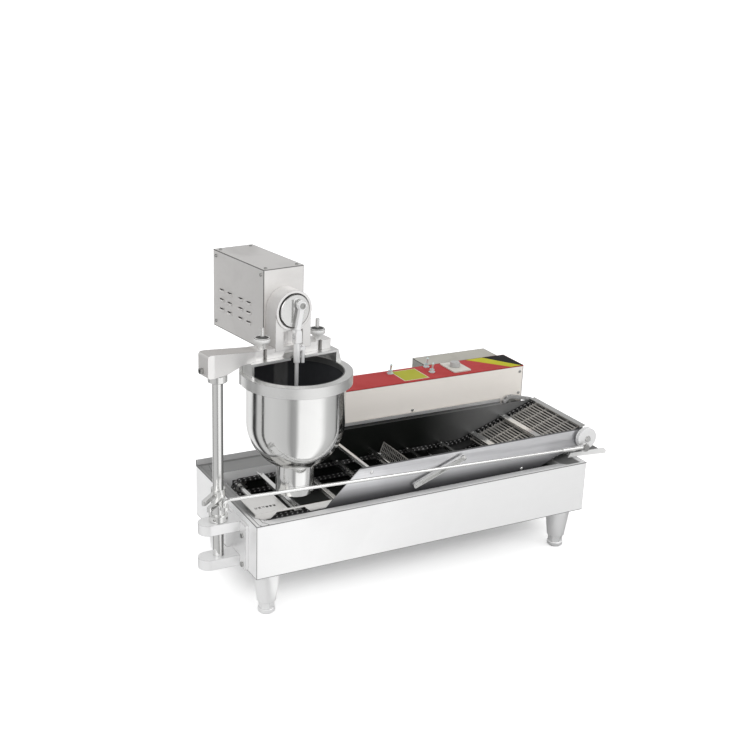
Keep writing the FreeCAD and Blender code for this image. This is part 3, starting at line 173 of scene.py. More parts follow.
def lathe(profile, sides, flutes=0, depth=0.0):
    """Each (radius, height) of the profile carried round a circle; flutes ripple the radius by a cosine."""
    profile = np.asarray(profile, float)
    turn = np.linspace(0, 2 * math.pi, sides, endpoint=False)
    ripple = 1 + depth * np.cos(flutes * turn) if flutes else np.ones(sides)
    radius = profile[:, :1] * ripple
    height = np.broadcast_to(profile[:, 1:], radius.shape)
    points = np.stack([radius * np.cos(turn), radius * np.sin(turn), height], -1)
    return points.reshape(-1, 3), grid_faces(len(profile), sides, round_columns=True)


def tube(path, radius, sides=8):
    """A circle carried along a path, square to its direction; both ends close to a point."""
    path = np.asarray(path, float)
    path = np.concatenate([path[:1], path, path[-1:]])
    along = np.gradient(path[1:-1], axis=0)
    along = along / np.linalg.norm(along, axis=1, keepdims=True)
    along = np.concatenate([along[:1], along, along[-1:]])
    lead = np.where(np.abs(along[:, 2:]) < 0.9, [[0.0, 0.0, 1.0]], [[0.0, 1.0, 0.0]])
    side = np.cross(along, lead)
    side = side / np.linalg.norm(side, axis=1, keepdims=True)
    other = np.cross(side, along)
    reach = np.full(len(path), float(radius))
    reach[[0, -1]] = 0.0
    turn = np.linspace(0, 2 * math.pi, sides, endpoint=False)[:, None]
    ring = np.cos(turn)[None] * side[:, None] + np.sin(turn)[None] * other[:, None]
    points = path[:, None] + reach[:, None, None] * ring
    return points.reshape(-1, 3), grid_faces(len(path), sides, round_columns=True)


def slab(outline, low, high):
    """A flat outline of (x, y) points between two heights: two rings, a wall between them, and both ends."""
    outline = np.asarray(outline, float)
    count = len(outline)
    rings = [np.column_stack([outline, np.full(count, z)]) for z in (low, high)]
    faces = grid_faces(2, count, round_columns=True)
    faces += [list(range(count))[::-1], list(range(count, 2 * count))]
    return np.concatenate(rings), faces


def across(points):
    """Lays a shape drawn along +Z over, so that its height runs along +Y: (x, y, z) becomes (x, z, -y)."""
    p = np.asarray(points, float)
    return np.stack([p[..., 0], p[..., 2], -p[..., 1]], -1)


def copies(shape, turns, places):
    """The same shape at many places: its points times each turn, plus each place, with faces counted on."""
    points, faces = shape
    many = np.einsum("kij,nj->kni", turns, points) + np.asarray(places, float)[:, None]
    steps = range(0, len(many) * len(points), len(points))
    return many.reshape(-1, 3), [[v + step for v in face] for step in steps for face in faces]


def together(shapes):
    """Several shapes as one: their points in a row, their faces counted on."""
    points, faces, count = [], [], 0
    for some_points, some_faces in shapes:
        points.append(some_points)
        faces += [[v + count for v in face] for face in some_faces]
        count += len(some_points)
    return np.concatenate(points), faces


def moved(shape, x, y, z):
    """A shape shifted."""
    return shape[0] + np.array([x, y, z], float), shape[1]


def pitch_turns(headings):
    """Turns about Y that lay +X along each heading, measured up from +X towards +Z."""
    c, s = np.cos(headings), np.sin(headings)
    zero, one = np.zeros_like(c), np.ones_like(c)
    rows = [[c, zero, -s], [zero, one, zero], [s, zero, c]]
    return np.moveaxis(np.array(rows), -1, 0)


def loop_stations(runs, start, travel):
    """Places and headings along a closed path of runs (length, curvature) from a start (x, z, heading).

    On a run of curvature k the heading grows by k times the travel, x by the change of its sine over k, and
    z by the change of minus its cosine over k; a straight run has a curvature too small to matter.
    """
    lengths = np.array([length for length, bend in runs])
    bends = np.array([bend if bend else 1e-9 for length, bend in runs])
    starts = np.zeros((len(runs), 3))
    starts[0] = start
    for k in range(1, len(runs)):
        x, z, heading = starts[k - 1]
        after = heading + bends[k - 1] * lengths[k - 1]
        x += (math.sin(after) - math.sin(heading)) / bends[k - 1]
        z -= (math.cos(after) - math.cos(heading)) / bends[k - 1]
        starts[k] = (x, z, after)
    ends = np.cumsum(lengths)
    travel = np.mod(travel, ends[-1])
    which = np.minimum(np.searchsorted(ends, travel, side="right"), len(runs) - 1)
    rest = travel - (ends - lengths)[which]
    x, z, heading = starts[which].T
    after = heading + bends[which] * rest
    x = x + (np.sin(after) - np.sin(heading)) / bends[which]
    z = z - (np.cos(after) - np.cos(heading)) / bends[which]
    return x, z, after


def incline():
    """Angle of the incline, the bend's middle, the incline's length and the idler's X."""
    rise = SHAFT_Z - LEVEL_Z
    run = SHAFT_X - BEND_X
    angle = math.atan2(rise, run)
    cut_back = BEND_RADIUS * math.tan(angle / 2)
    length = math.hypot(rise, run) - cut_back
    centre_x = BEND_X - cut_back
    half_loop = FLIGHT_COUNT * FLIGHT_PITCH / 2
    idler_x = centre_x + BEND_RADIUS * angle + length + math.pi * PITCH_RADIUS - half_loop
    return angle, centre_x, length, idler_x


def conveyor_stations(travel):
    """Places and headings along the long chains: two level runs, two bends, two inclines, two ends."""
    angle, centre_x, length, idler_x = incline()
    level = (centre_x - idler_x, 0.0)
    round_end = (math.pi * PITCH_RADIUS, -1 / PITCH_RADIUS)
    inner = BEND_RADIUS - PITCH_RADIUS
    outer = BEND_RADIUS + PITCH_RADIUS
    runs = [level, (inner * angle, 1 / inner), (length, 0.0), round_end]
    runs += [(length, 0.0), (outer * angle, -1 / outer), level, round_end]
    return loop_stations(runs, (idler_x, LEVEL_Z + PITCH_RADIUS, 0.0), travel)


def drive_stations(travel):
    """Places and headings along the short chain, round the motor's sprocket and the shaft's."""
    run = math.hypot(SHAFT_X - MOTOR_X, SHAFT_Z - MOTOR_Z)
    lean = math.atan2(SHAFT_Z - MOTOR_Z, SHAFT_X - MOTOR_X)
    round_end = (math.pi * MOTOR_RADIUS, -1 / MOTOR_RADIUS)
    start = (MOTOR_X - MOTOR_RADIUS * math.sin(lean), MOTOR_Z + MOTOR_RADIUS * math.cos(lean), lean)
    return loop_stations([(run, 0.0), round_end, (run, 0.0), round_end], start, travel)


def link_plate():
    """A chain plate: an oval round both pins, its height drawn in by a fifth between them."""
    turn = np.linspace(0, 2 * math.pi, 16, endpoint=False)
    rise = np.abs(np.sin(turn))
    x = CHAIN_PITCH / 2 + (CHAIN_PITCH / 2 + PLATE_HALF) * np.cos(turn)
    waist = 1 - PLATE_WAIST * rise ** WAIST_SHARPNESS
    z = PLATE_HALF * np.sign(np.sin(turn)) * rise ** PLATE_ROUNDING * waist
    points, faces = slab(np.column_stack([x, z]), 0, PLATE_THICK)
    return across(points) * (1, 1, -1), faces


def chain_plates(stations, count, length, rows):
    """Pairs of plates between neighbouring stations, wide and narrow in turn, for chains in several rows."""
    x, z, heading = stations(np.arange(count) * length / count)
    shapes = []
    for y in rows:
        places = np.column_stack([x, np.full(count, y), z])
        chord = np.roll(places, -1, axis=0) - places
        turns = pitch_turns(np.arctan2(chord[:, 2], chord[:, 0]))
        for first, inside in enumerate(PLATE_PAIRS):
            pair = [moved(link_plate(), 0, side, 0) for side in (inside, -inside - PLATE_THICK)]
            shapes.append(copies(together(pair), turns[first::2], places[first::2]))
    return together(shapes)


def chain_rollers(stations, count, length, rows):
    """A roller and a pin across each chain at every station."""
    x, z, heading = stations(np.arange(count) * length / count)
    roller = tube([(0, -ROLLER_HALF, 0), (0, ROLLER_HALF, 0)], ROLLER_RADIUS)
    pin = tube([(0, -PIN_HALF, 0), (0, PIN_HALF, 0)], PIN_RADIUS)
    places = [np.column_stack([x, np.full(count, y), z]) for y in rows]
    return together([copies(together([roller, pin]), pitch_turns(heading), some) for some in places])


def conveyor_chain():
    """Path, count of links, length and rows of the two long chains."""
    return conveyor_stations, FLIGHT_COUNT * TEETH, FLIGHT_COUNT * FLIGHT_PITCH, CHAIN_ROWS


def drive_chain():
    """Path, count of links, length and row of the short chain."""
    run = math.hypot(SHAFT_X - MOTOR_X, SHAFT_Z - MOTOR_Z)
    length = 2 * run + 2 * math.pi * MOTOR_RADIUS
    return drive_stations, 2 * round(length / CHAIN_PITCH / 2), length, (DRIVE_CHAIN_Y,)


def flight_screws():
    """Low domed heads on each flight's flange, two over each chain."""
    angle, centre_x, length, idler_x = incline()
    travel = FIRST_FLIGHT_X - idler_x + FLIGHT_PITCH * np.arange(FLIGHT_COUNT)
    x, z, heading = conveyor_stations(travel)
    places = np.column_stack([x, np.zeros(FLIGHT_COUNT), z])
    head = lathe([(0, -1), (2.6, -1), (2.6, 0.5), (1.8, 1.2), (0, 1.4)], 10)
    heads = []
    for y in (CHAIN_ROWS[0] + 1, CHAIN_ROWS[1] - 1):
        for along in SCREW_PLACES:
            heads.append(moved(head, along, y, FLIGHT_FACE))
    return copies(together(heads), pitch_turns(heading), places)


def on_incline(shape):
    """Puts a flat shape in its place: X runs up the incline from its foot, Z off the pitch line."""
    angle, centre_x, length, idler_x = incline()
    foot = np.array([SHAFT_X, 0, SHAFT_Z]) - length * np.array([math.cos(angle), 0, math.sin(angle)])
    foot = foot + PITCH_RADIUS * np.array([-math.sin(angle), 0, math.cos(angle)])
    return copies(shape, pitch_turns(np.array([angle])), foot[None])


def slide_grid():
    """Round wires across the incline on upright flat bars that run along it."""
    end = GRID_START + GRID_LENGTH
    wire = tube([(0, GRID_FRONT, GRID_WIRE_LIFT), (0, GRID_BACK, GRID_WIRE_LIFT)], GRID_WIRE_RADIUS)
    along = np.linspace(GRID_START + GRID_END_GAP, end - GRID_END_GAP, GRID_WIRES)
    flat = np.repeat(np.eye(3)[None], len(along), axis=0)
    shapes = [copies(wire, flat, np.column_stack([along, np.zeros((len(along), 2))]))]
    for y in np.linspace(GRID_FRONT + GRID_BAR_INSET, GRID_BACK - GRID_BAR_INSET, GRID_BARS):
        near, far = y - GRID_BAR_HALF, y + GRID_BAR_HALF
        outline = [(GRID_START, near), (end, near), (end, far), (GRID_START, far)]
        shapes.append(slab(outline, GRID_BAR_FOOT, GRID_BAR_TOP))
    return on_incline(together(shapes))


def drip_sheet():
    """The flat sheet under the wires."""
    end = GRID_START + GRID_LENGTH
    outline = [(GRID_START, GRID_FRONT), (end, GRID_FRONT), (end, GRID_BACK), (GRID_START, GRID_BACK)]
    return on_incline(slab(outline, SHEET_FOOT, GRID_BAR_FOOT))


def turner_mesh():
    """A frame of round wire with close upright wires and a few wires along."""
    dx = MESH_HIGH[0] - MESH_LOW[0]
    dz = MESH_HIGH[1] - MESH_LOW[1]
    tall = math.hypot(dx, dz)
    inset = FRAME_WIRE / 2
    sides = (GRID_FRONT + FRAME_WIRE, GRID_BACK - FRAME_WIRE)
    ends = (FRAME_WIRE, tall - FRAME_WIRE)
    shapes = []
    for y in np.linspace(*sides, MESH_UPRIGHTS):
        thick = FRAME_WIRE if y in sides else MESH_WIRE
        wire = [(inset, y, WIRE_CROSSING), (tall - inset, y, WIRE_CROSSING)]
        shapes.append(tube(wire, thick, 6))
    for along in np.linspace(*ends, MESH_ROWS):
        thick = FRAME_WIRE if along in ends else MESH_WIRE
        wire = [(along, GRID_FRONT, -WIRE_CROSSING), (along, GRID_BACK, -WIRE_CROSSING)]
        shapes.append(tube(wire, thick, 6))
    lean = np.array([math.atan2(dz, dx)])
    foot = np.array([[MESH_LOW[0] + MESH_OFFSET, 0, MESH_LOW[1]]])
    return copies(together(shapes), pitch_turns(lean), foot)


def louvre_hoods():
    """Scoops below the cover's slots: a sheet that leaves the wall at its foot and stands off at its lip.

    Along the slot the stand-off falls to nothing at both ends as the root of one minus the square.
    """
    rise, along = np.meshgrid(np.linspace(0, 1, 5), np.linspace(-1, 1, 13), indexing="ij")
    out = HOOD_OUT * rise * np.sqrt(np.clip(1 - along ** 2, 0, 1)) + HOOD_CLEAR
    scoop = np.stack([-COVER_HALF - out, HOOD_HALF * along, HOOD_TALL * rise + HOOD_FOOT], -1)
    scoop = scoop.reshape(-1, 3)
    faces = grid_faces(*rise.shape)
    shapes = []
    for side in (1, -1):
        for v in LOUVRE_COLUMNS:
            for z in LOUVRE_ROWS:
                shapes.append((scoop * (side, 1, 1) + (0, v, z), faces))
    points, faces = together(shapes)
    return on_head(points), faces


def thumb_nut(u):
    """A dished nut: narrow foot, cone out to a knurled rim, a sunk top and the stud's hole."""
    foot = [(NUT_BORE, 0), (8.5, 0), (8.5, 6), (12, 11), (17.4, 15)]
    rim = [(17.4, 15), (18, 16), (18, 25), (17.4, 26)]
    top = [(17.4, 26), (15.5, 26.6), (14.5, 25.4), (9, 25), (NUT_BORE, 25), (NUT_BORE, 0)]
    shapes = [lathe(foot, NUT_SIDES), lathe(rim, NUT_SIDES, NUT_FLUTES, NUT_KNURL), lathe(top, NUT_SIDES)]
    points, faces = together(shapes)
    return on_head(points + (u, STUD_V, NUT_BASE)), faces


def speed_knob():
    """A round knob with a rounded top edge, fine flutes round its side and a pointer line on its top."""
    side = [(0, 0), (13.6, 0), (14, 0.5), (13.8, 2.0), (13.4, 2.6)]
    fluted = [(13.4, 2.6), (13.0, 10.6), (12.4, 11.8)]
    top = [(12.4, 11.8), (11.2, 12.5), (0, 12.7)]
    rib = [(-0.9, -11.5), (0.9, -11.5), (0.9, -3), (-0.9, -3)]
    stem = [(0, -15), (4, -15), (4, 0.5), (0, 0.5)]
    shapes = [lathe(side, KNOB_SIDES), lathe(fluted, KNOB_SIDES, KNOB_FLUTES, KNOB_KNURL)]
    shapes += [lathe(top, KNOB_SIDES), slab(rib, 12, 12.9), lathe(stem, 24)]
    return moved(together(shapes), KNOB[0], KNOB[1], KNOB_BASE)


def panel_patch(outline, lift):
    """A thin printed patch on the panel, up to its lift."""
    return slab(outline, PANEL_TOP + PATCH_FOOT, PANEL_TOP + lift)


# Shader groups


# Each fade: two limits of a value, and what it gives at each
MARK_FADE = (0.42, 0.68, 0.0, 1.0)
EDGE_FADE = (0.995, 0.86, 0.0, 1.0)
FOLD_FADE = (1.15, 0.7, 0.0, 1.0)
BEVEL_SAMPLES = 6


def feed(tree, socket, value):
    """Links an input from a socket, or sets it to a value."""
    if isinstance(value, bpy.types.NodeSocket):
        tree.links.new(value, socket)
    else:
        socket.default_value = value


def new_group(name, inputs, outputs):
    """A shader group with named sockets; gives its tree, its input node and its output node."""
    tree = bpy.data.node_groups.new(name, "ShaderNodeTree")
    for socket, kind in inputs:
        tree.interface.new_socket(socket, in_out="INPUT", socket_type="NodeSocket" + kind)
    for socket, kind in outputs:
        tree.interface.new_socket(socket, in_out="OUTPUT", socket_type="NodeSocket" + kind)
    return tree, tree.nodes.new("NodeGroupInput"), tree.nodes.new("NodeGroupOutput")


def place_group(tree, group, **inputs):
    """A node that stands for a shader group; its inputs go by the group's own names."""
    node = tree.nodes.new("ShaderNodeGroup")
    node.node_tree = group
    for key, value in inputs.items():
        feed(tree, node.inputs[key], value)
    return node


def add_node(tree, kind, settings=None, **inputs):
    """A node with its settings; each input goes by an i and the number of its socket."""
    node = tree.nodes.new("ShaderNode" + kind)
    for key, value in (settings or {}).items():
        setattr(node, key, value)
    for key, value in inputs.items():
        feed(tree, node.inputs[int(key[1:])], value)
    return node


def sum_of(tree, operation, first, second):
    """One step of arithmetic."""
    return add_node(tree, "Math", {"operation": operation}, i0=first, i1=second).outputs[0]


def vector_of(tree, operation, first, second=(0.0, 0.0, 0.0)):
    """One step of vector arithmetic; a length or a dot product gives a number."""
    node = add_node(tree, "VectorMath", {"operation": operation}, i0=first, i1=second)
    return node.outputs["Value" if operation in ("LENGTH", "DOT_PRODUCT") else "Vector"]


def spread(tree, value, low, high, to_low, to_high):
    """Maps a value from one range to another, smoothly and held at both ends."""
    settings = {"interpolation_type": "SMOOTHSTEP"}
    node = add_node(tree, "MapRange", settings, i0=value, i1=low, i2=high, i3=to_low, i4=to_high)
    return node.outputs[0]


def between(tree, value, low, high, soft):
    """One between two limits, falling to nothing over a soft distance outside them."""
    after = spread(tree, value, low - soft, low, 0.0, 1.0)
    before = spread(tree, value, high, high + soft, 1.0, 0.0)
    return sum_of(tree, "MULTIPLY", after, before)


def noise(tree, place, scale, detail, roughness=0.5, distortion=0.0):
    """Cloudy noise between nothing and one."""
    node = add_node(tree, "TexNoise", i0=place, i2=scale, i3=detail, i4=roughness, i8=distortion)
    return node.outputs[0]


def brushed_grain_group():
    """Noise drawn out along one direction: a shade near one and a height."""
    tree, given, out = new_group(
        "brushed_grain",
        [("Vector", "Vector"), ("Stretch", "Vector"), ("Depth", "Float")],
        [("Shade", "Float"), ("Height", "Float")],
    )
    place, stretch, depth = given.outputs[:3]
    stretched = vector_of(tree, "MULTIPLY", place, stretch)
    fine = noise(tree, stretched, scale=1.0, detail=3.0, roughness=0.65)
    swing = sum_of(tree, "MULTIPLY", sum_of(tree, "SUBTRACT", fine, 0.5), depth)
    tree.links.new(sum_of(tree, "ADD", swing, 1.0), out.inputs["Shade"])
    tree.links.new(fine, out.inputs["Height"])
    return tree


def handling_marks_group():
    """Cloudy wipe marks: a shade near one and a mask for the duller places."""
    tree, given, out = new_group(
        "handling_marks",
        [("Vector", "Vector"), ("Size", "Float"), ("Amount", "Float")],
        [("Shade", "Float"), ("Mask", "Float")],
    )
    place, size, amount = given.outputs[:3]
    cloud = noise(tree, place, size, detail=4.0, roughness=0.6, distortion=0.6)
    mask = spread(tree, cloud, *MARK_FADE)
    loss = sum_of(tree, "MULTIPLY", mask, amount)
    tree.links.new(sum_of(tree, "SUBTRACT", 1.0, loss), out.inputs["Shade"])
    tree.links.new(mask, out.inputs["Mask"])
    return tree


def edge_line_group():
    """Mask of the folded edges: where a slightly rounded normal leaves the true one."""
    tree, given, out = new_group("edge_line", [("Width", "Float")], [("Mask", "Float")])
    rounded = add_node(tree, "Bevel", {"samples": BEVEL_SAMPLES}, i0=given.outputs["Width"]).outputs[0]
    true = add_node(tree, "NewGeometry").outputs["Normal"]
    alike = vector_of(tree, "DOT_PRODUCT", rounded, true)
    tree.links.new(spread(tree, alike, *EDGE_FADE), out.inputs["Mask"])
    return tree


def box_edges_group():
    """Mask of a box's edges: where the second smallest distance to its six faces is under the width."""
    vectors = [("Vector", "Vector"), ("Centre", "Vector"), ("Half", "Vector")]
    numbers = [("Turn", "Float"), ("Width", "Float")]
    tree, given, out = new_group("box_edges", vectors + numbers, [("Mask", "Float")])
    place, centre, half, turn, width = given.outputs[:5]
    about = add_node(tree, "VectorRotate", {"rotation_type": "Z_AXIS"}, i0=place, i1=centre)
    tree.links.new(sum_of(tree, "MULTIPLY", turn, -1.0), about.inputs["Angle"])
    from_centre = vector_of(tree, "SUBTRACT", about.outputs[0], centre)
    inset = vector_of(tree, "SUBTRACT", half, vector_of(tree, "ABSOLUTE", from_centre))
    a, b, c = add_node(tree, "SeparateXYZ", i0=inset).outputs
    lower = sum_of(tree, "MINIMUM", a, b)
    upper = sum_of(tree, "MAXIMUM", a, b)
    second = sum_of(tree, "MAXIMUM", lower, sum_of(tree, "MINIMUM", upper, c))
    share = sum_of(tree, "DIVIDE", second, width)
    tree.links.new(spread(tree, share, *FOLD_FADE), out.inputs["Mask"])
    return tree


GRAIN = brushed_grain_group()
MARKS = handling_marks_group()
EDGE = edge_line_group()
FOLDS = box_edges_group()


# Finishes


# How wipe marks, edges, folds and painted shade change a finish
MARK_SIZE = 7.0
MARK_DULLNESS = 0.12
EDGE_TONE = 0.16
FOLD_TONE = 0.1
FOLD_STRENGTH = 0.85
MASKED_METALLIC = 0.3
MASKED_SHINE = 0.15
GRAIN_BUMP = 0.12
PAINT_MARK_SIZE = 9.0
PAINT_DULLNESS = 0.1
PAINT_EDGE_TONE = 0.45
PAINT_EDGE_WIDTH = 0.001
PAINT_SHINE = 0.2
PAINT_BUMP = 0.08
BUMP_HEIGHT = 0.0002


def mixed(tree, factor, first, second):
    """A colour between two, by a factor."""
    return add_node(tree, "Mix", {"data_type": "RGBA"}, i0=factor, i6=first, i7=second).outputs[2]


def shaded(tree, colour, shade):
    """A colour times a shade."""
    settings = {"data_type": "RGBA", "blend_type": "MULTIPLY"}
    return add_node(tree, "Mix", settings, i0=1.0, i6=colour, i7=shade).outputs[2]


def rgba(colour, tone=1.0):
    """A colour times a tone, fully opaque."""
    return (*[tone * part for part in colour], 1.0)


def start_finish(name):
    """A new material, its tree, its shader, and the surface's place in metres."""
    material = bpy.data.materials.new(name)
    material.use_nodes = True
    tree = material.node_tree
    shader = tree.nodes["Principled BSDF"]
    place = add_node(tree, "TexCoord").outputs["Object"]
    return material, tree, shader, place


def finish_surface(tree, shader, tone, rough, dull, height, bump):
    """Gives a shader its colour, a roughness that grows in dull places, and a bump from a height."""
    tree.links.new(tone, shader.inputs["Base Color"])
    tree.links.new(sum_of(tree, "ADD", dull, rough), shader.inputs["Roughness"])
    relief = add_node(tree, "Bump", i0=bump, i1=BUMP_HEIGHT)
    tree.links.new(height, relief.inputs["Height"])
    tree.links.new(relief.outputs[0], shader.inputs["Normal"])


def metal(
    name, colour, rough, stretch, depth=0.1, marks=0.06, edge=0.6, width=0.0007, dark=None, folds=None,
    metallic=1.0,
):
    """Brushed metal: grain, wipe marks and darker edges.

    Dark gives a mask and a colour, mostly painted shade, for an area that mirrors less; folds gives a box,
    its turn and a width for dark fold lines.
    """
    material, tree, shader, place = start_finish(name)
    grain = place_group(tree, GRAIN, Vector=place, Stretch=stretch, Depth=depth)
    wiped = place_group(tree, MARKS, Vector=place, Size=MARK_SIZE, Amount=marks)
    shade = sum_of(tree, "MULTIPLY", grain.outputs["Shade"], wiped.outputs["Shade"])
    tone = shaded(tree, rgba(colour), shade)
    shader.inputs["Metallic"].default_value = metallic
    if dark:
        mask, mask_colour = dark(tree, place)
        tone = mixed(tree, mask, tone, rgba(mask_colour))
        less = spread(tree, mask, 0.0, 1.0, metallic, MASKED_METALLIC * metallic)
        tree.links.new(less, shader.inputs["Metallic"])
        shader.inputs["Specular IOR Level"].default_value = MASKED_SHINE
    if edge:
        line = place_group(tree, EDGE, Width=width).outputs["Mask"]
        tone = mixed(tree, sum_of(tree, "MULTIPLY", line, edge), tone, rgba(colour, EDGE_TONE))
    if folds:
        centre, half, turn, wide = folds
        fold = place_group(tree, FOLDS, Vector=place, Centre=centre, Half=half, Turn=turn, Width=wide)
        share = sum_of(tree, "MULTIPLY", fold.outputs["Mask"], FOLD_STRENGTH)
        tone = mixed(tree, share, tone, rgba(colour, FOLD_TONE))
    dull = sum_of(tree, "MULTIPLY", wiped.outputs["Mask"], MARK_DULLNESS)
    finish_surface(tree, shader, tone, rough, dull, grain.outputs["Height"], GRAIN_BUMP)
    return material


def paint(name, colour, rough=0.5, texture=900.0, edge=0.5, marks=0.08):
    """Paint or moulded plastic: fine surface texture, faint wipe marks and darker edges."""
    material, tree, shader, place = start_finish(name)
    wiped = place_group(tree, MARKS, Vector=place, Size=PAINT_MARK_SIZE, Amount=marks)
    tone = shaded(tree, rgba(colour), wiped.outputs["Shade"])
    if edge:
        line = place_group(tree, EDGE, Width=PAINT_EDGE_WIDTH).outputs["Mask"]
        tone = mixed(tree, sum_of(tree, "MULTIPLY", line, edge), tone, rgba(colour, PAINT_EDGE_TONE))
    shader.inputs["Specular IOR Level"].default_value = PAINT_SHINE
    dull = sum_of(tree, "MULTIPLY", wiped.outputs["Mask"], PAINT_DULLNESS)
    peel = noise(tree, place, texture, detail=2.0)
    finish_surface(tree, shader, tone, rough, dull, peel, PAINT_BUMP)
    return material


# Painted shade, a painted highlight and a painted reflection, and dark lines: each function gives a mask and
# the colour under it


# Each fade: two limits in bench millimetres, and what it gives at each
SHADE_LINE_DROP = (340.0, 280.0, 0.0, 40.0)
SHADE_LINE = (218.0, 196.0, 0.0, 0.96)
TANK_RIGHT = (845.0, 855.0, 0.0, 0.85)
RIM_LINE = (237.0, 235.0, 0.0, 1.0)
RIM_DEPTH = (52.0, 90.0, 0.15, 0.7)
ARM_END = (60.0, 45.0, 0.0, 0.55)
PLATE_SHADE_FADE = (276.0, 228.0, 0.0, 0.93)
PLATE_EDGE = (302.6, 304.2, 0.0, 0.9)
REAR_FADE = (560.0, 860.0, 1.0, 0.72)
# The same for a distance in metres from the hopper's axis
MOUTH_EDGE = (0.1095, 0.108, 0.0, 0.9)
# The same for how far a face or a heading points one way
UPWARDS = (0.6, 0.85, 0.0, 1.0)
LEFTWARDS = (-0.55, -0.9, 0.0, 1.0)
RIGHT_OF_VIEW = (0.6, 0.85, 0.0, 0.85)
BOWL_HIGHLIGHT_STRIP = (0.984, 0.9985, 1.0, 0.5)
HIGHLIGHT_HEADING = (0.1, 0.995, 0.0)
# Each band: two limits in bench millimetres, and a soft distance outside them
LEFT_HEMS = ((29.0, 31.0, 0.6), (10.0, 12.5, 0.6))
BACK_HEM = (366.0, 372.0, 1.0)
CHUTE_LIPS = (43.0, 297.0, 0.5)
NUT_DISH = (NUT_BASE + 24.8, NUT_BASE + 25.5, 0.3)
# Places on the bench, and the radius of the middle of the bowl's sheet in metres
REAR_FACE = 287.0
RAIL_UNDERSIDE = 310.0
MOUTH_HEIGHT = 546.0
BOWL_CENTRE = 425.0
BOWL_SKIN = 0.111
# How much of a mask counts
HEM_STRENGTH = 0.8
ARM_LEFT_STRENGTH = 0.35
HOUSING_STRENGTH = 0.7
RAIL_SHADOW_STRENGTH = 0.96
# Colours under the masks
BOWL_SHADE_GREY = (0.085, 0.088, 0.095)
SHADE_BLACK = (0.05, 0.05, 0.05)
TANK_SHADE_AND_HEMS = (0.02, 0.022, 0.02)
CHUTE_SHADE_GREY = (0.11, 0.11, 0.11)
ARM_SHADE_BROWN = (0.26, 0.235, 0.22)
POST_REFLECTION_BLACK = (0.06, 0.06, 0.06)
HOUSING_SHADE_GREY = (0.1, 0.1, 0.1)
PLATE_SHADE_DARK = (0.03, 0.03, 0.033)
REAR_SHADE_DARK = (0.007, 0.008, 0.007)


def bench_axis(tree, place, axis):
    """One bench coordinate of the surface, in millimetres."""
    metres = add_node(tree, "SeparateXYZ", i0=place).outputs[axis]
    start = float(ORIGIN["XYZ".index(axis)])
    return sum_of(tree, "ADD", sum_of(tree, "MULTIPLY", metres, 1000.0), start)


def facing(tree, axis, fade):
    """Mask of the faces that look along an axis."""
    normal = add_node(tree, "NewGeometry").outputs["Normal"]
    return spread(tree, add_node(tree, "SeparateXYZ", i0=normal).outputs[axis], *fade)


def from_hopper(tree, place, height=0.0):
    """The way from a point on the hopper's axis to the surface, in metres."""
    centre = to_model(on_head(np.array([0.0, 0.0, height])))
    return vector_of(tree, "SUBTRACT", place, tuple(centre))


def level_part(tree, way):
    """A way without its rise."""
    return vector_of(tree, "MULTIPLY", way, (1.0, 1.0, 0.0))


def bowl_shade_and_highlight(tree, place):
    """Painted shade on the bowl's inner skin: nearer than the sheet's middle to the axis, or to the round
    bottom's centre.

    A strip of the far wall, where the heading from the axis is within a few degrees of one direction, gets
    only half of the shade, as a painted highlight.
    """
    way = from_hopper(tree, place, BOWL_CENTRE)
    x, y, z = add_node(tree, "SeparateXYZ", i0=way).outputs
    below = sum_of(tree, "MINIMUM", z, 0.0)
    reach = vector_of(tree, "LENGTH", add_node(tree, "CombineXYZ", i0=x, i1=y, i2=below).outputs[0])
    heading = vector_of(tree, "NORMALIZE", level_part(tree, way))
    strip = spread(tree, vector_of(tree, "DOT_PRODUCT", heading, HIGHLIGHT_HEADING), *BOWL_HIGHLIGHT_STRIP)
    inside = sum_of(tree, "LESS_THAN", reach, BOWL_SKIN)
    return sum_of(tree, "MULTIPLY", inside, strip), BOWL_SHADE_GREY


def mouth_shade(tree, place):
    """Painted shade on the flange's inner edge, close to the mouth and below its upper face."""
    reach = vector_of(tree, "LENGTH", level_part(tree, from_hopper(tree, place)))
    low = sum_of(tree, "LESS_THAN", bench_axis(tree, place, "Z"), MOUTH_HEIGHT)
    return sum_of(tree, "MULTIPLY", low, spread(tree, reach, *MOUTH_EDGE)), SHADE_BLACK


def tank_shade_and_hems(tree, place):
    """Painted shade on the tank's walls under a line, lower at the left, on its right end and on its rim;
    and its dark hem lines.
    """
    x, y, z = [bench_axis(tree, place, axis) for axis in "XYZ"]
    lifted = sum_of(tree, "ADD", z, spread(tree, x, *SHADE_LINE_DROP))
    walls = spread(tree, lifted, *SHADE_LINE)
    right = sum_of(tree, "MULTIPLY", spread(tree, x, *TANK_RIGHT), spread(tree, z, *RIM_LINE))
    hems = between(tree, y, *BACK_HEM)
    for hem in LEFT_HEMS:
        hems = sum_of(tree, "MAXIMUM", hems, between(tree, x, *hem))
    hems = sum_of(tree, "MULTIPLY", hems, HEM_STRENGTH)
    above = sum_of(tree, "MAXIMUM", hems, spread(tree, y, *RIM_DEPTH))
    above = sum_of(tree, "MULTIPLY", above, facing(tree, "Z", UPWARDS))
    below = sum_of(tree, "MAXIMUM", walls, right)
    return sum_of(tree, "MAXIMUM", below, above), TANK_SHADE_AND_HEMS


def chute_tray_shade(tree, place):
    """Painted shade on the chute's tray, seen from above between its lips."""
    tray = between(tree, bench_axis(tree, place, "Y"), *CHUTE_LIPS)
    return sum_of(tree, "MULTIPLY", facing(tree, "Z", UPWARDS), tray), CHUTE_SHADE_GREY


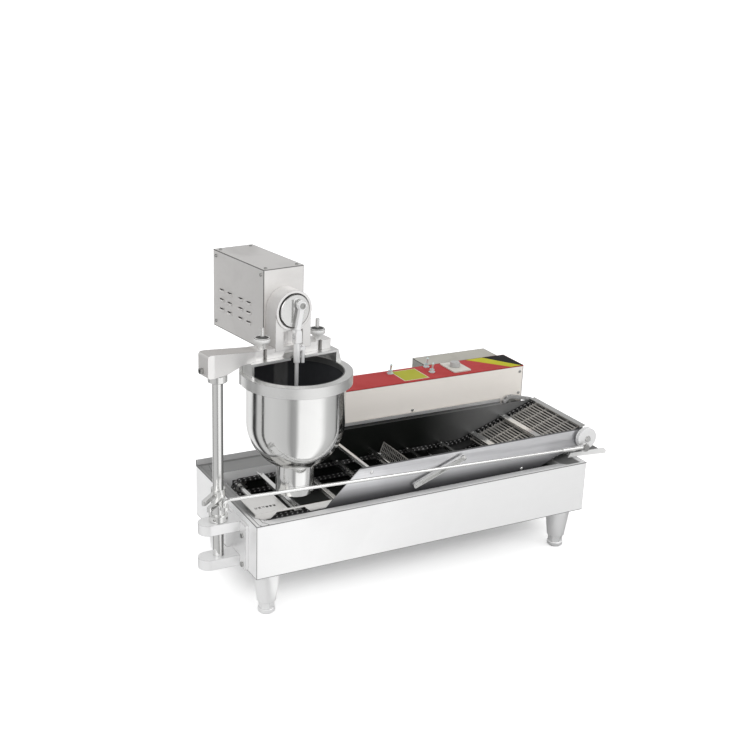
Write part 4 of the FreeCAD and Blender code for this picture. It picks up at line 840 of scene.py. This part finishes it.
def arm_shade(tree, place):
    """Painted shade on the casting's left faces, and on its upper faces between the post and the hopper."""
    left = spread(tree, bench_axis(tree, place, "X"), *ARM_END)
    above = sum_of(tree, "MULTIPLY", facing(tree, "Z", UPWARDS), left)
    beside = sum_of(tree, "MULTIPLY", facing(tree, "X", LEFTWARDS), ARM_LEFT_STRENGTH)
    return sum_of(tree, "MAXIMUM", above, beside), ARM_SHADE_BROWN


def post_painted_reflection(tree, place):
    """Painted dark reflection on the post's edge that lies to the right of the view."""
    normal = add_node(tree, "NewGeometry").outputs["Normal"]
    right = (math.cos(CAMERA_TURN), math.sin(CAMERA_TURN), 0.0)
    return spread(tree, vector_of(tree, "DOT_PRODUCT", normal, right), *RIGHT_OF_VIEW), POST_REFLECTION_BLACK


def housing_shade(tree, place):
    """Painted shade on the motor housing's left face."""
    return sum_of(tree, "MULTIPLY", facing(tree, "X", LEFTWARDS), HOUSING_STRENGTH), HOUSING_SHADE_GREY


def nut_top_shade(tree, place):
    """Painted shade in a thumb nut's sunk top."""
    return between(tree, bench_axis(tree, place, "Z"), *NUT_DISH), SHADE_BLACK


def front_plate_shade(tree, place):
    """Painted shade, darker towards the front plate's foot, and a dark line along its top edge."""
    height = bench_axis(tree, place, "Z")
    low = spread(tree, height, *PLATE_SHADE_FADE)
    top = spread(tree, height, *PLATE_EDGE)
    return sum_of(tree, "MAXIMUM", low, top), PLATE_SHADE_DARK


def rear_plate_shade(tree, place):
    """Painted shade on the rear plate's face over the oil, and a painted shadow under its rail, fading out
    towards the incline's top.
    """
    face = sum_of(tree, "LESS_THAN", bench_axis(tree, place, "Y"), REAR_FACE)
    under = sum_of(tree, "LESS_THAN", bench_axis(tree, place, "Z"), RAIL_UNDERSIDE)
    face = sum_of(tree, "MAXIMUM", face, sum_of(tree, "MULTIPLY", under, RAIL_SHADOW_STRENGTH))
    along = spread(tree, bench_axis(tree, place, "X"), *REAR_FADE)
    return sum_of(tree, "MULTIPLY", face, along), REAR_SHADE_DARK


# Finishes of the pieces


# How finely the grain is cut along X, Y and Z
LENGTHWISE = (6.0, 500.0, 900.0)
UPRIGHT = (700.0, 700.0, 8.0)
EVEN = (300.0, 300.0, 300.0)
ACROSS = (700.0, 8.0, 700.0)


def fold_box(low, high, wide, on=np.asarray, turn=0.0):
    """A box's middle and half size in metres, its turn, and the width of its fold lines."""
    low = np.array(low, float)
    high = np.array(high, float)
    centre = to_model(on(0.5 * (low + high)))
    half = 0.5 * (high - low) / 1000.0
    return tuple(centre), tuple(half), turn, wide


CASING_BOX = fold_box((0, 0, 109), (900, 374, 238), 0.0016)
CONTROL_BOX = fold_box((330, 303, 238.3), (905, 401, 401), 0.003)
HOUSING_BOX = fold_box((655, 401, 250), (884, 469, 401), 0.0018)
COVER_BOX = fold_box((-COVER_HALF, 57.3, 584), (COVER_HALF, 285, 767), 0.0018, on_head, HEAD_YAW)

WHITE_STEEL = (0.90, 0.90, 0.90)
BAR_STEEL = (0.82, 0.82, 0.81)
casing_steel = metal(
    "casing_steel", WHITE_STEEL, 0.4, LENGTHWISE, depth=0.04, marks=0.02, folds=CASING_BOX, metallic=0.35
)
leg_steel = metal(
    "leg_steel", WHITE_STEEL, 0.34, UPRIGHT, depth=0.04, marks=0.02, width=0.0016, metallic=0.45
)
tank_steel = metal(
    "tank_steel", (0.88, 0.88, 0.88), 0.3, LENGTHWISE, dark=tank_shade_and_hems, folds=CASING_BOX, metallic=0.1
)
front_plate_steel = metal(
    "front_plate_steel", (0.86, 0.86, 0.88), 0.3, LENGTHWISE, depth=0.3, dark=front_plate_shade
)
plate_steel = metal("plate_steel", (0.84, 0.83, 0.81), 0.3, LENGTHWISE, depth=0.12, metallic=0.6)
chute_steel = metal("chute_steel", (0.90, 0.90, 0.89), 0.3, LENGTHWISE, dark=chute_tray_shade, metallic=0.4)
rear_plate_steel = metal("rear_plate_steel", (0.78, 0.78, 0.78), 0.45, LENGTHWISE, dark=rear_plate_shade)
bowl_steel = metal(
    "bowl_steel", (0.86, 0.86, 0.85), 0.09, UPRIGHT, depth=0.04, marks=0.03, edge=0.7, dark=bowl_shade_and_highlight
)
bar_steel = metal("bar_steel", BAR_STEEL, 0.16, EVEN, depth=0.06, width=0.0009)
post_steel = metal("post_steel", BAR_STEEL, 0.16, EVEN, depth=0.06, width=0.0009, dark=post_painted_reflection)
nut_steel = metal(
    "nut_steel", (0.88, 0.88, 0.87), 0.32, EVEN, depth=0.06, width=0.0009, dark=nut_top_shade, metallic=0.6
)
wire_steel = metal("wire_steel", (0.64, 0.62, 0.59), 0.3, ACROSS, depth=0.2, edge=0.0, metallic=0.7)
turner_wire = metal("turner_wire", (0.36, 0.35, 0.33), 0.35, ACROSS, depth=0.3, edge=0.0, metallic=0.6)
# The drip sheet's near black is painted shade under the wires.
sheet_painted_shade = metal("sheet_painted_shade", (0.05, 0.05, 0.05), 0.4, LENGTHWISE, depth=0.3, edge=0.0, metallic=0.5)
cast_metal = metal(
    "cast_metal", (0.92, 0.91, 0.90), 0.46, EVEN, marks=0.03, width=0.0016, dark=arm_shade, metallic=0.85
)
flange_metal = metal(
    "flange_metal", (0.84, 0.84, 0.83), 0.36, EVEN, depth=0.08, width=0.0016, dark=mouth_shade
)
cover_steel = metal("cover_steel", (0.87, 0.855, 0.84), 0.42, LENGTHWISE, depth=0.05, folds=COVER_BOX)
box_steel = metal(
    "box_steel", (0.93, 0.885, 0.83), 0.5, LENGTHWISE, depth=0.05, marks=0.03, folds=CONTROL_BOX,
    metallic=0.2,
)
housing_steel = metal(
    "housing_steel", (0.72, 0.70, 0.63), 0.42, LENGTHWISE, depth=0.05, dark=housing_shade, folds=HOUSING_BOX
)
bright_chain = metal(
    "bright_chain", (0.60, 0.60, 0.60), 0.3, EVEN, depth=0.4, marks=0.2, edge=0.0, metallic=0.6
)
dark_chain = metal("dark_chain", (0.13, 0.13, 0.13), 0.34, EVEN, depth=0.5, marks=0.3, edge=0.0)
bolt_zinc = metal("bolt_zinc", (0.46, 0.46, 0.45), 0.3, EVEN, depth=0.15)
scorched_tube = metal("scorched_tube", (0.12, 0.11, 0.10), 0.5, ACROSS, depth=0.4, edge=0.0)
plated_steel = metal("plated_steel", (0.66, 0.82, 0.82), 0.3, EVEN, depth=0.03, edge=0.5, metallic=0.5)
motor_paint = paint("motor_paint", (0.13, 0.14, 0.15))
panel_red = paint("panel_red", (0.42, 0.030, 0.030))
label_green = paint("label_green", (0.37, 0.37, 0.018), edge=0.0)
label_border = paint("label_border", (0.62, 0.60, 0.48), edge=0.0)
stripe_yellow = paint("stripe_yellow", (0.46, 0.44, 0.006), edge=0.0)
corner_black = paint("corner_black", (0.006, 0.006, 0.006), rough=0.6, edge=0.0)
ivory_plastic = paint("ivory_plastic", (0.58, 0.56, 0.51), rough=0.4)
grey_plastic = paint("grey_plastic", (0.34, 0.35, 0.37), rough=0.4, texture=1500.0)
knob_plastic = paint("knob_plastic", (0.42, 0.42, 0.41), rough=0.4)

NODE_FINISH = {
    casing_steel: ["outer_casing"],
    leg_steel: [
        "legs", "levelling_feet", "post_bracket", "crank_disc", "plunger_rod", "plunger_sleeve",
        "connecting_link",
    ],
    tank_steel: ["oil_tank"],
    front_plate_steel: ["conveyor_side_front"],
    plate_steel: ["start_plate"],
    chute_steel: ["discharge_chute"],
    rear_plate_steel: ["conveyor_side_rear"],
    bowl_steel: ["hopper_bowl", "hopper_nozzle"],
    post_steel: ["post"],
    bar_steel: [
        "post_collars", "swing_lever", "link_rod", "flipper_lever", "flights", "frame_cross_members",
        "hopper_studs", "plunger_cutter", "head_crank_disc", "drive_shaft", "idler_shaft", "flipper_shaft",
    ],
    cast_metal: ["arm_casting"],
    flange_metal: ["hopper_flange"],
    cover_steel: ["motor_cover"],
    housing_steel: ["motor_housing"],
    box_steel: ["control_box_shell"],
    bolt_zinc: [
        "bracket_bolts", "crank_bolt", "arm_clamp_screw", "cover_screws", "link_bolt", "control_screws",
        "shaft_bushes", "drive_sprockets", "idler_sprockets", "motor_sprocket",
    ],
    scorched_tube: ["heating_element"],
    motor_paint: ["head_gear_motor", "conveyor_gear_motor"],
    panel_red: ["control_panel"],
    ivory_plastic: ["knob_bezel"],
    grey_plastic: ["cable_gland"],
    plated_steel: ["switch_bodies", "toggle_left", "toggle_back", "toggle_front"],
}
for finish, names in NODE_FINISH.items():
    for name in names:
        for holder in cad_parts[name].material_slots:
            holder.material = finish


# Pieces


# Distances in metres under which points are one and edges have no length, and the angle of a fold
SAME_POINT = 1e-6
NO_LENGTH = 1e-7
FOLD_ANGLE = math.radians(35.0)
HOOD_SHEET = 0.0008


def piece(name, shape, body, finish, replaced=()):
    """Puts a shape into a mesh that rides on a body.

    Double points are merged, faces turned outwards, and the surface is smooth but for folds.
    """
    points, faces = shape
    mesh = bpy.data.meshes.new(name)
    mesh.from_pydata(to_model(points).tolist(), [], faces)
    work = bmesh.new()
    work.from_mesh(mesh)
    bmesh.ops.remove_doubles(work, verts=work.verts, dist=SAME_POINT)
    bmesh.ops.dissolve_degenerate(work, edges=work.edges, dist=NO_LENGTH)
    bmesh.ops.recalc_face_normals(work, faces=work.faces)
    work.to_mesh(mesh)
    work.free()
    mesh.polygons.foreach_set("use_smooth", np.ones(len(mesh.polygons), bool))
    mesh.set_sharp_from_angle(angle=FOLD_ANGLE)
    mesh.materials.append(finish)
    made = bpy.data.objects.new(name, mesh)
    bpy.context.scene.collection.objects.link(made)
    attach(made, body)
    if replaced:
        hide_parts(*replaced)
    return made


def thickened(made, sheet):
    """Gives a sheet piece its wall, half to each side."""
    wall = made.modifiers.new("wall", "SOLIDIFY")
    wall.thickness = sheet
    wall.offset = 0.0


piece("chain_plates", chain_plates(*conveyor_chain()), "base", dark_chain, ["conveyor_chains"])
piece("chain_rollers", chain_rollers(*conveyor_chain()), "base", bright_chain)
piece("drive_plates", chain_plates(*drive_chain()), "base", bright_chain, ["drive_chain"])
piece("drive_rollers", chain_rollers(*drive_chain()), "base", bright_chain)
piece("flight_screws", flight_screws(), "base", bolt_zinc)
piece("slide_grid", slide_grid(), "base", wire_steel, ["incline_grid"])
piece("drip_sheet", drip_sheet(), "base", sheet_painted_shade)
piece("turner_mesh", turner_mesh(), "flipper", turner_wire, ["flipper_mesh"])
thickened(piece("louvre_hoods", louvre_hoods(), "swing_arm", cover_steel), HOOD_SHEET)
left_nut = thumb_nut(-STUD_SPREAD)
right_nut = thumb_nut(STUD_SPREAD)
piece("nut_left", left_nut, "thumb_nut_left", nut_steel, ["thumb_nut_left"])
piece("nut_right", right_nut, "thumb_nut_right", nut_steel, ["thumb_nut_right"])
piece("knob", speed_knob(), "speed_knob", knob_plastic, ["speed_knob"])
piece("label_border", panel_patch(BORDER, lift=0.12), "base", label_border)
piece("label_patch", panel_patch(LABEL, lift=0.2), "base", label_green)
piece("panel_stripe", panel_patch(STRIPE, lift=0.16), "base", stripe_yellow)
piece("panel_corner", panel_patch(CORNER, lift=0.12), "base", corner_black)


# Stage, light and camera


# What polished metal mirrors off the floor, by the bearing in degrees from the side the machine is seen from
FLOOR_TONES = (
    (-180, 0.50), (-124, 0.80), (-113, 0.70), (-106, 0.03), (-98, 0.05), (-90, 0.52), (-50, 0.58),
    (-16, 0.52), (-5, 0.30), (5, 0.36), (14, 0.90), (62, 1.00), (78, 0.55), (104, 0.42), (110, 0.04),
    (128, 0.05), (138, 0.6), (180, 0.50),
)
FLOOR_MIRRORED = 1.12
SEEN_FROM = math.radians(29.8)
# The floor as the eye sees it, with a painted shadow under the machine as bands on the bench
FLOOR_WHITE = (0.8, 0.8, 0.8)
FLOOR_ROUGH = 0.9
FLOOR_RINGS = (0.0, 2.0, 8.0, 60.0)
FLOOR_GLOW = 0.42
SHADOW_LOSS = 0.36
SHADOW_ALONG = (100.0, 840.0, 110.0)
SHADOW_DEPTH = (190.0, 360.0, 120.0)
# Fades of the studio that metal mirrors, by how far a direction points back or up
STUDIO_BEHIND = (-0.2, 0.6, 1.0, 0.72)
STUDIO_OVERHEAD = (0.3, 0.85, 1.0, 0.4)
LAMP_AIM = (0, 0, 0.3)


def floor_tone(tree, place):
    """Brightness on a ramp by bearing round the hopper, whose tangent is sideways over frontways."""
    away = from_hopper(tree, place)
    ahead = (-math.sin(SEEN_FROM), -math.cos(SEEN_FROM), 0.0)
    beside = (math.cos(SEEN_FROM), -math.sin(SEEN_FROM), 0.0)
    front = vector_of(tree, "DOT_PRODUCT", away, ahead)
    side = vector_of(tree, "DOT_PRODUCT", away, beside)
    bearing = sum_of(tree, "ARCTAN2", side, front)
    share = sum_of(tree, "ADD", sum_of(tree, "DIVIDE", bearing, 2 * math.pi), 0.5)
    ramp = add_node(tree, "ValToRGB", i0=share)
    stops = ramp.color_ramp.elements
    while len(stops) < len(FLOOR_TONES):
        stops.new(0.5)
    for stop, (degrees, tone) in zip(stops, FLOOR_TONES):
        stop.position = degrees / 360 + 0.5
        stop.color = (tone, tone, tone, 1)
    return ramp.outputs[0]


def stage_floor():
    """A wide flat disc under the feet: white with a shadow to the eye, toned by bearing to metal."""
    points, faces = lathe([(radius, 0) for radius in FLOOR_RINGS], 64)
    mesh = bpy.data.meshes.new("floor")
    mesh.from_pydata(points.tolist(), [], faces)
    floor = bpy.data.objects.new("floor", mesh)
    bpy.context.scene.collection.objects.link(floor)
    material, tree, shader, place = start_finish("floor_white")
    shader.inputs["Base Color"].default_value = rgba(FLOOR_WHITE)
    shader.inputs["Roughness"].default_value = FLOOR_ROUGH
    shader.inputs["Specular IOR Level"].default_value = 0.0
    path = add_node(tree, "LightPath").outputs
    seen = sum_of(tree, "MAXIMUM", path["Is Camera Ray"], path["Is Transmission Ray"])
    along = between(tree, bench_axis(tree, place, "X"), *SHADOW_ALONG)
    under = sum_of(tree, "MULTIPLY", along, between(tree, bench_axis(tree, place, "Y"), *SHADOW_DEPTH))
    level = sum_of(tree, "SUBTRACT", FLOOR_GLOW, sum_of(tree, "MULTIPLY", under, SHADOW_LOSS))
    glow = add_node(tree, "Emission", i1=sum_of(tree, "MULTIPLY", seen, level)).outputs[0]
    lit = add_node(tree, "AddShader", i0=shader.outputs[0], i1=glow).outputs[0]
    mirrored = add_node(tree, "Emission", i0=floor_tone(tree, place), i1=FLOOR_MIRRORED).outputs[0]
    either = add_node(tree, "MixShader", i0=path["Is Glossy Ray"], i1=lit, i2=mirrored).outputs[0]
    tree.links.new(either, tree.nodes["Material Output"].inputs["Surface"])
    mesh.materials.append(material)


def stage_world():
    """White to the eye; metal sees a studio that is white in front and greyer behind and overhead."""
    world = bpy.data.worlds.new("studio")
    bpy.context.scene.world = world
    world.use_nodes = True
    tree = world.node_tree
    background = tree.nodes["Background"]
    background.inputs["Color"].default_value = (1, 1, 1, 1)
    glossy = add_node(tree, "LightPath").outputs["Is Glossy Ray"]
    direction = add_node(tree, "SeparateXYZ", i0=add_node(tree, "TexCoord").outputs["Generated"]).outputs
    behind = spread(tree, direction["Y"], *STUDIO_BEHIND)
    overhead = spread(tree, direction["Z"], *STUDIO_OVERHEAD)
    studio = sum_of(tree, "MULTIPLY", glossy, sum_of(tree, "MULTIPLY", behind, overhead))
    level = sum_of(tree, "ADD", studio, sum_of(tree, "SUBTRACT", 1.0, glossy))
    tree.links.new(level, background.inputs["Strength"])


def soft_lamp(name, place, aim, size, power):
    """A square soft box at a place, turned to face a point."""
    lamp = bpy.data.lights.new(name, "AREA")
    lamp.size = size
    lamp.energy = power
    made = bpy.data.objects.new(name, lamp)
    away = np.subtract(place, aim)
    away = away / np.linalg.norm(away)
    right = np.cross([0.0, 0.0, 1.0], away)
    right = right / np.linalg.norm(right)
    turn = np.column_stack([right, np.cross(away, right), away])
    made.matrix_world = Matrix.Translation(place) @ Matrix(turn.tolist()).to_4x4()
    bpy.context.scene.collection.objects.link(made)


def photo_camera():
    """The photograph's camera: turned by its azimuth, tilted down, and rolled about its own axis."""
    a, e, r = CAMERA_TURN, CAMERA_TILT, CAMERA_ROLL
    back = np.array([math.sin(a) * math.cos(e), -math.cos(a) * math.cos(e), math.sin(e)])
    right = np.array([math.cos(a), math.sin(a), 0.0])
    up = np.cross(back, right)
    rolled_right = math.cos(r) * right + math.sin(r) * up
    rolled_up = math.cos(r) * up - math.sin(r) * right
    turn = np.column_stack([rolled_right, rolled_up, back])
    data = bpy.data.cameras.new("photo_camera")
    data.lens = CAMERA_LENS
    data.sensor_width = CAMERA_SENSOR
    data.shift_x, data.shift_y = CAMERA_SHIFT
    camera = bpy.data.objects.new("photo_camera", data)
    place = to_model(np.array(CAMERA_PLACE))
    camera.matrix_world = Matrix.Translation(place.tolist()) @ Matrix(turn.tolist()).to_4x4()
    bpy.context.scene.collection.objects.link(camera)
    bpy.context.scene.camera = camera


stage_floor()
stage_world()
soft_lamp("key", place=(1.9, -2.2, 3.0), aim=LAMP_AIM, size=2.2, power=24)
soft_lamp("fill", place=(-2.4, -1.8, 2.2), aim=LAMP_AIM, size=2.0, power=13)
photo_camera()
bpy.context.scene.view_settings.view_transform = "Standard"
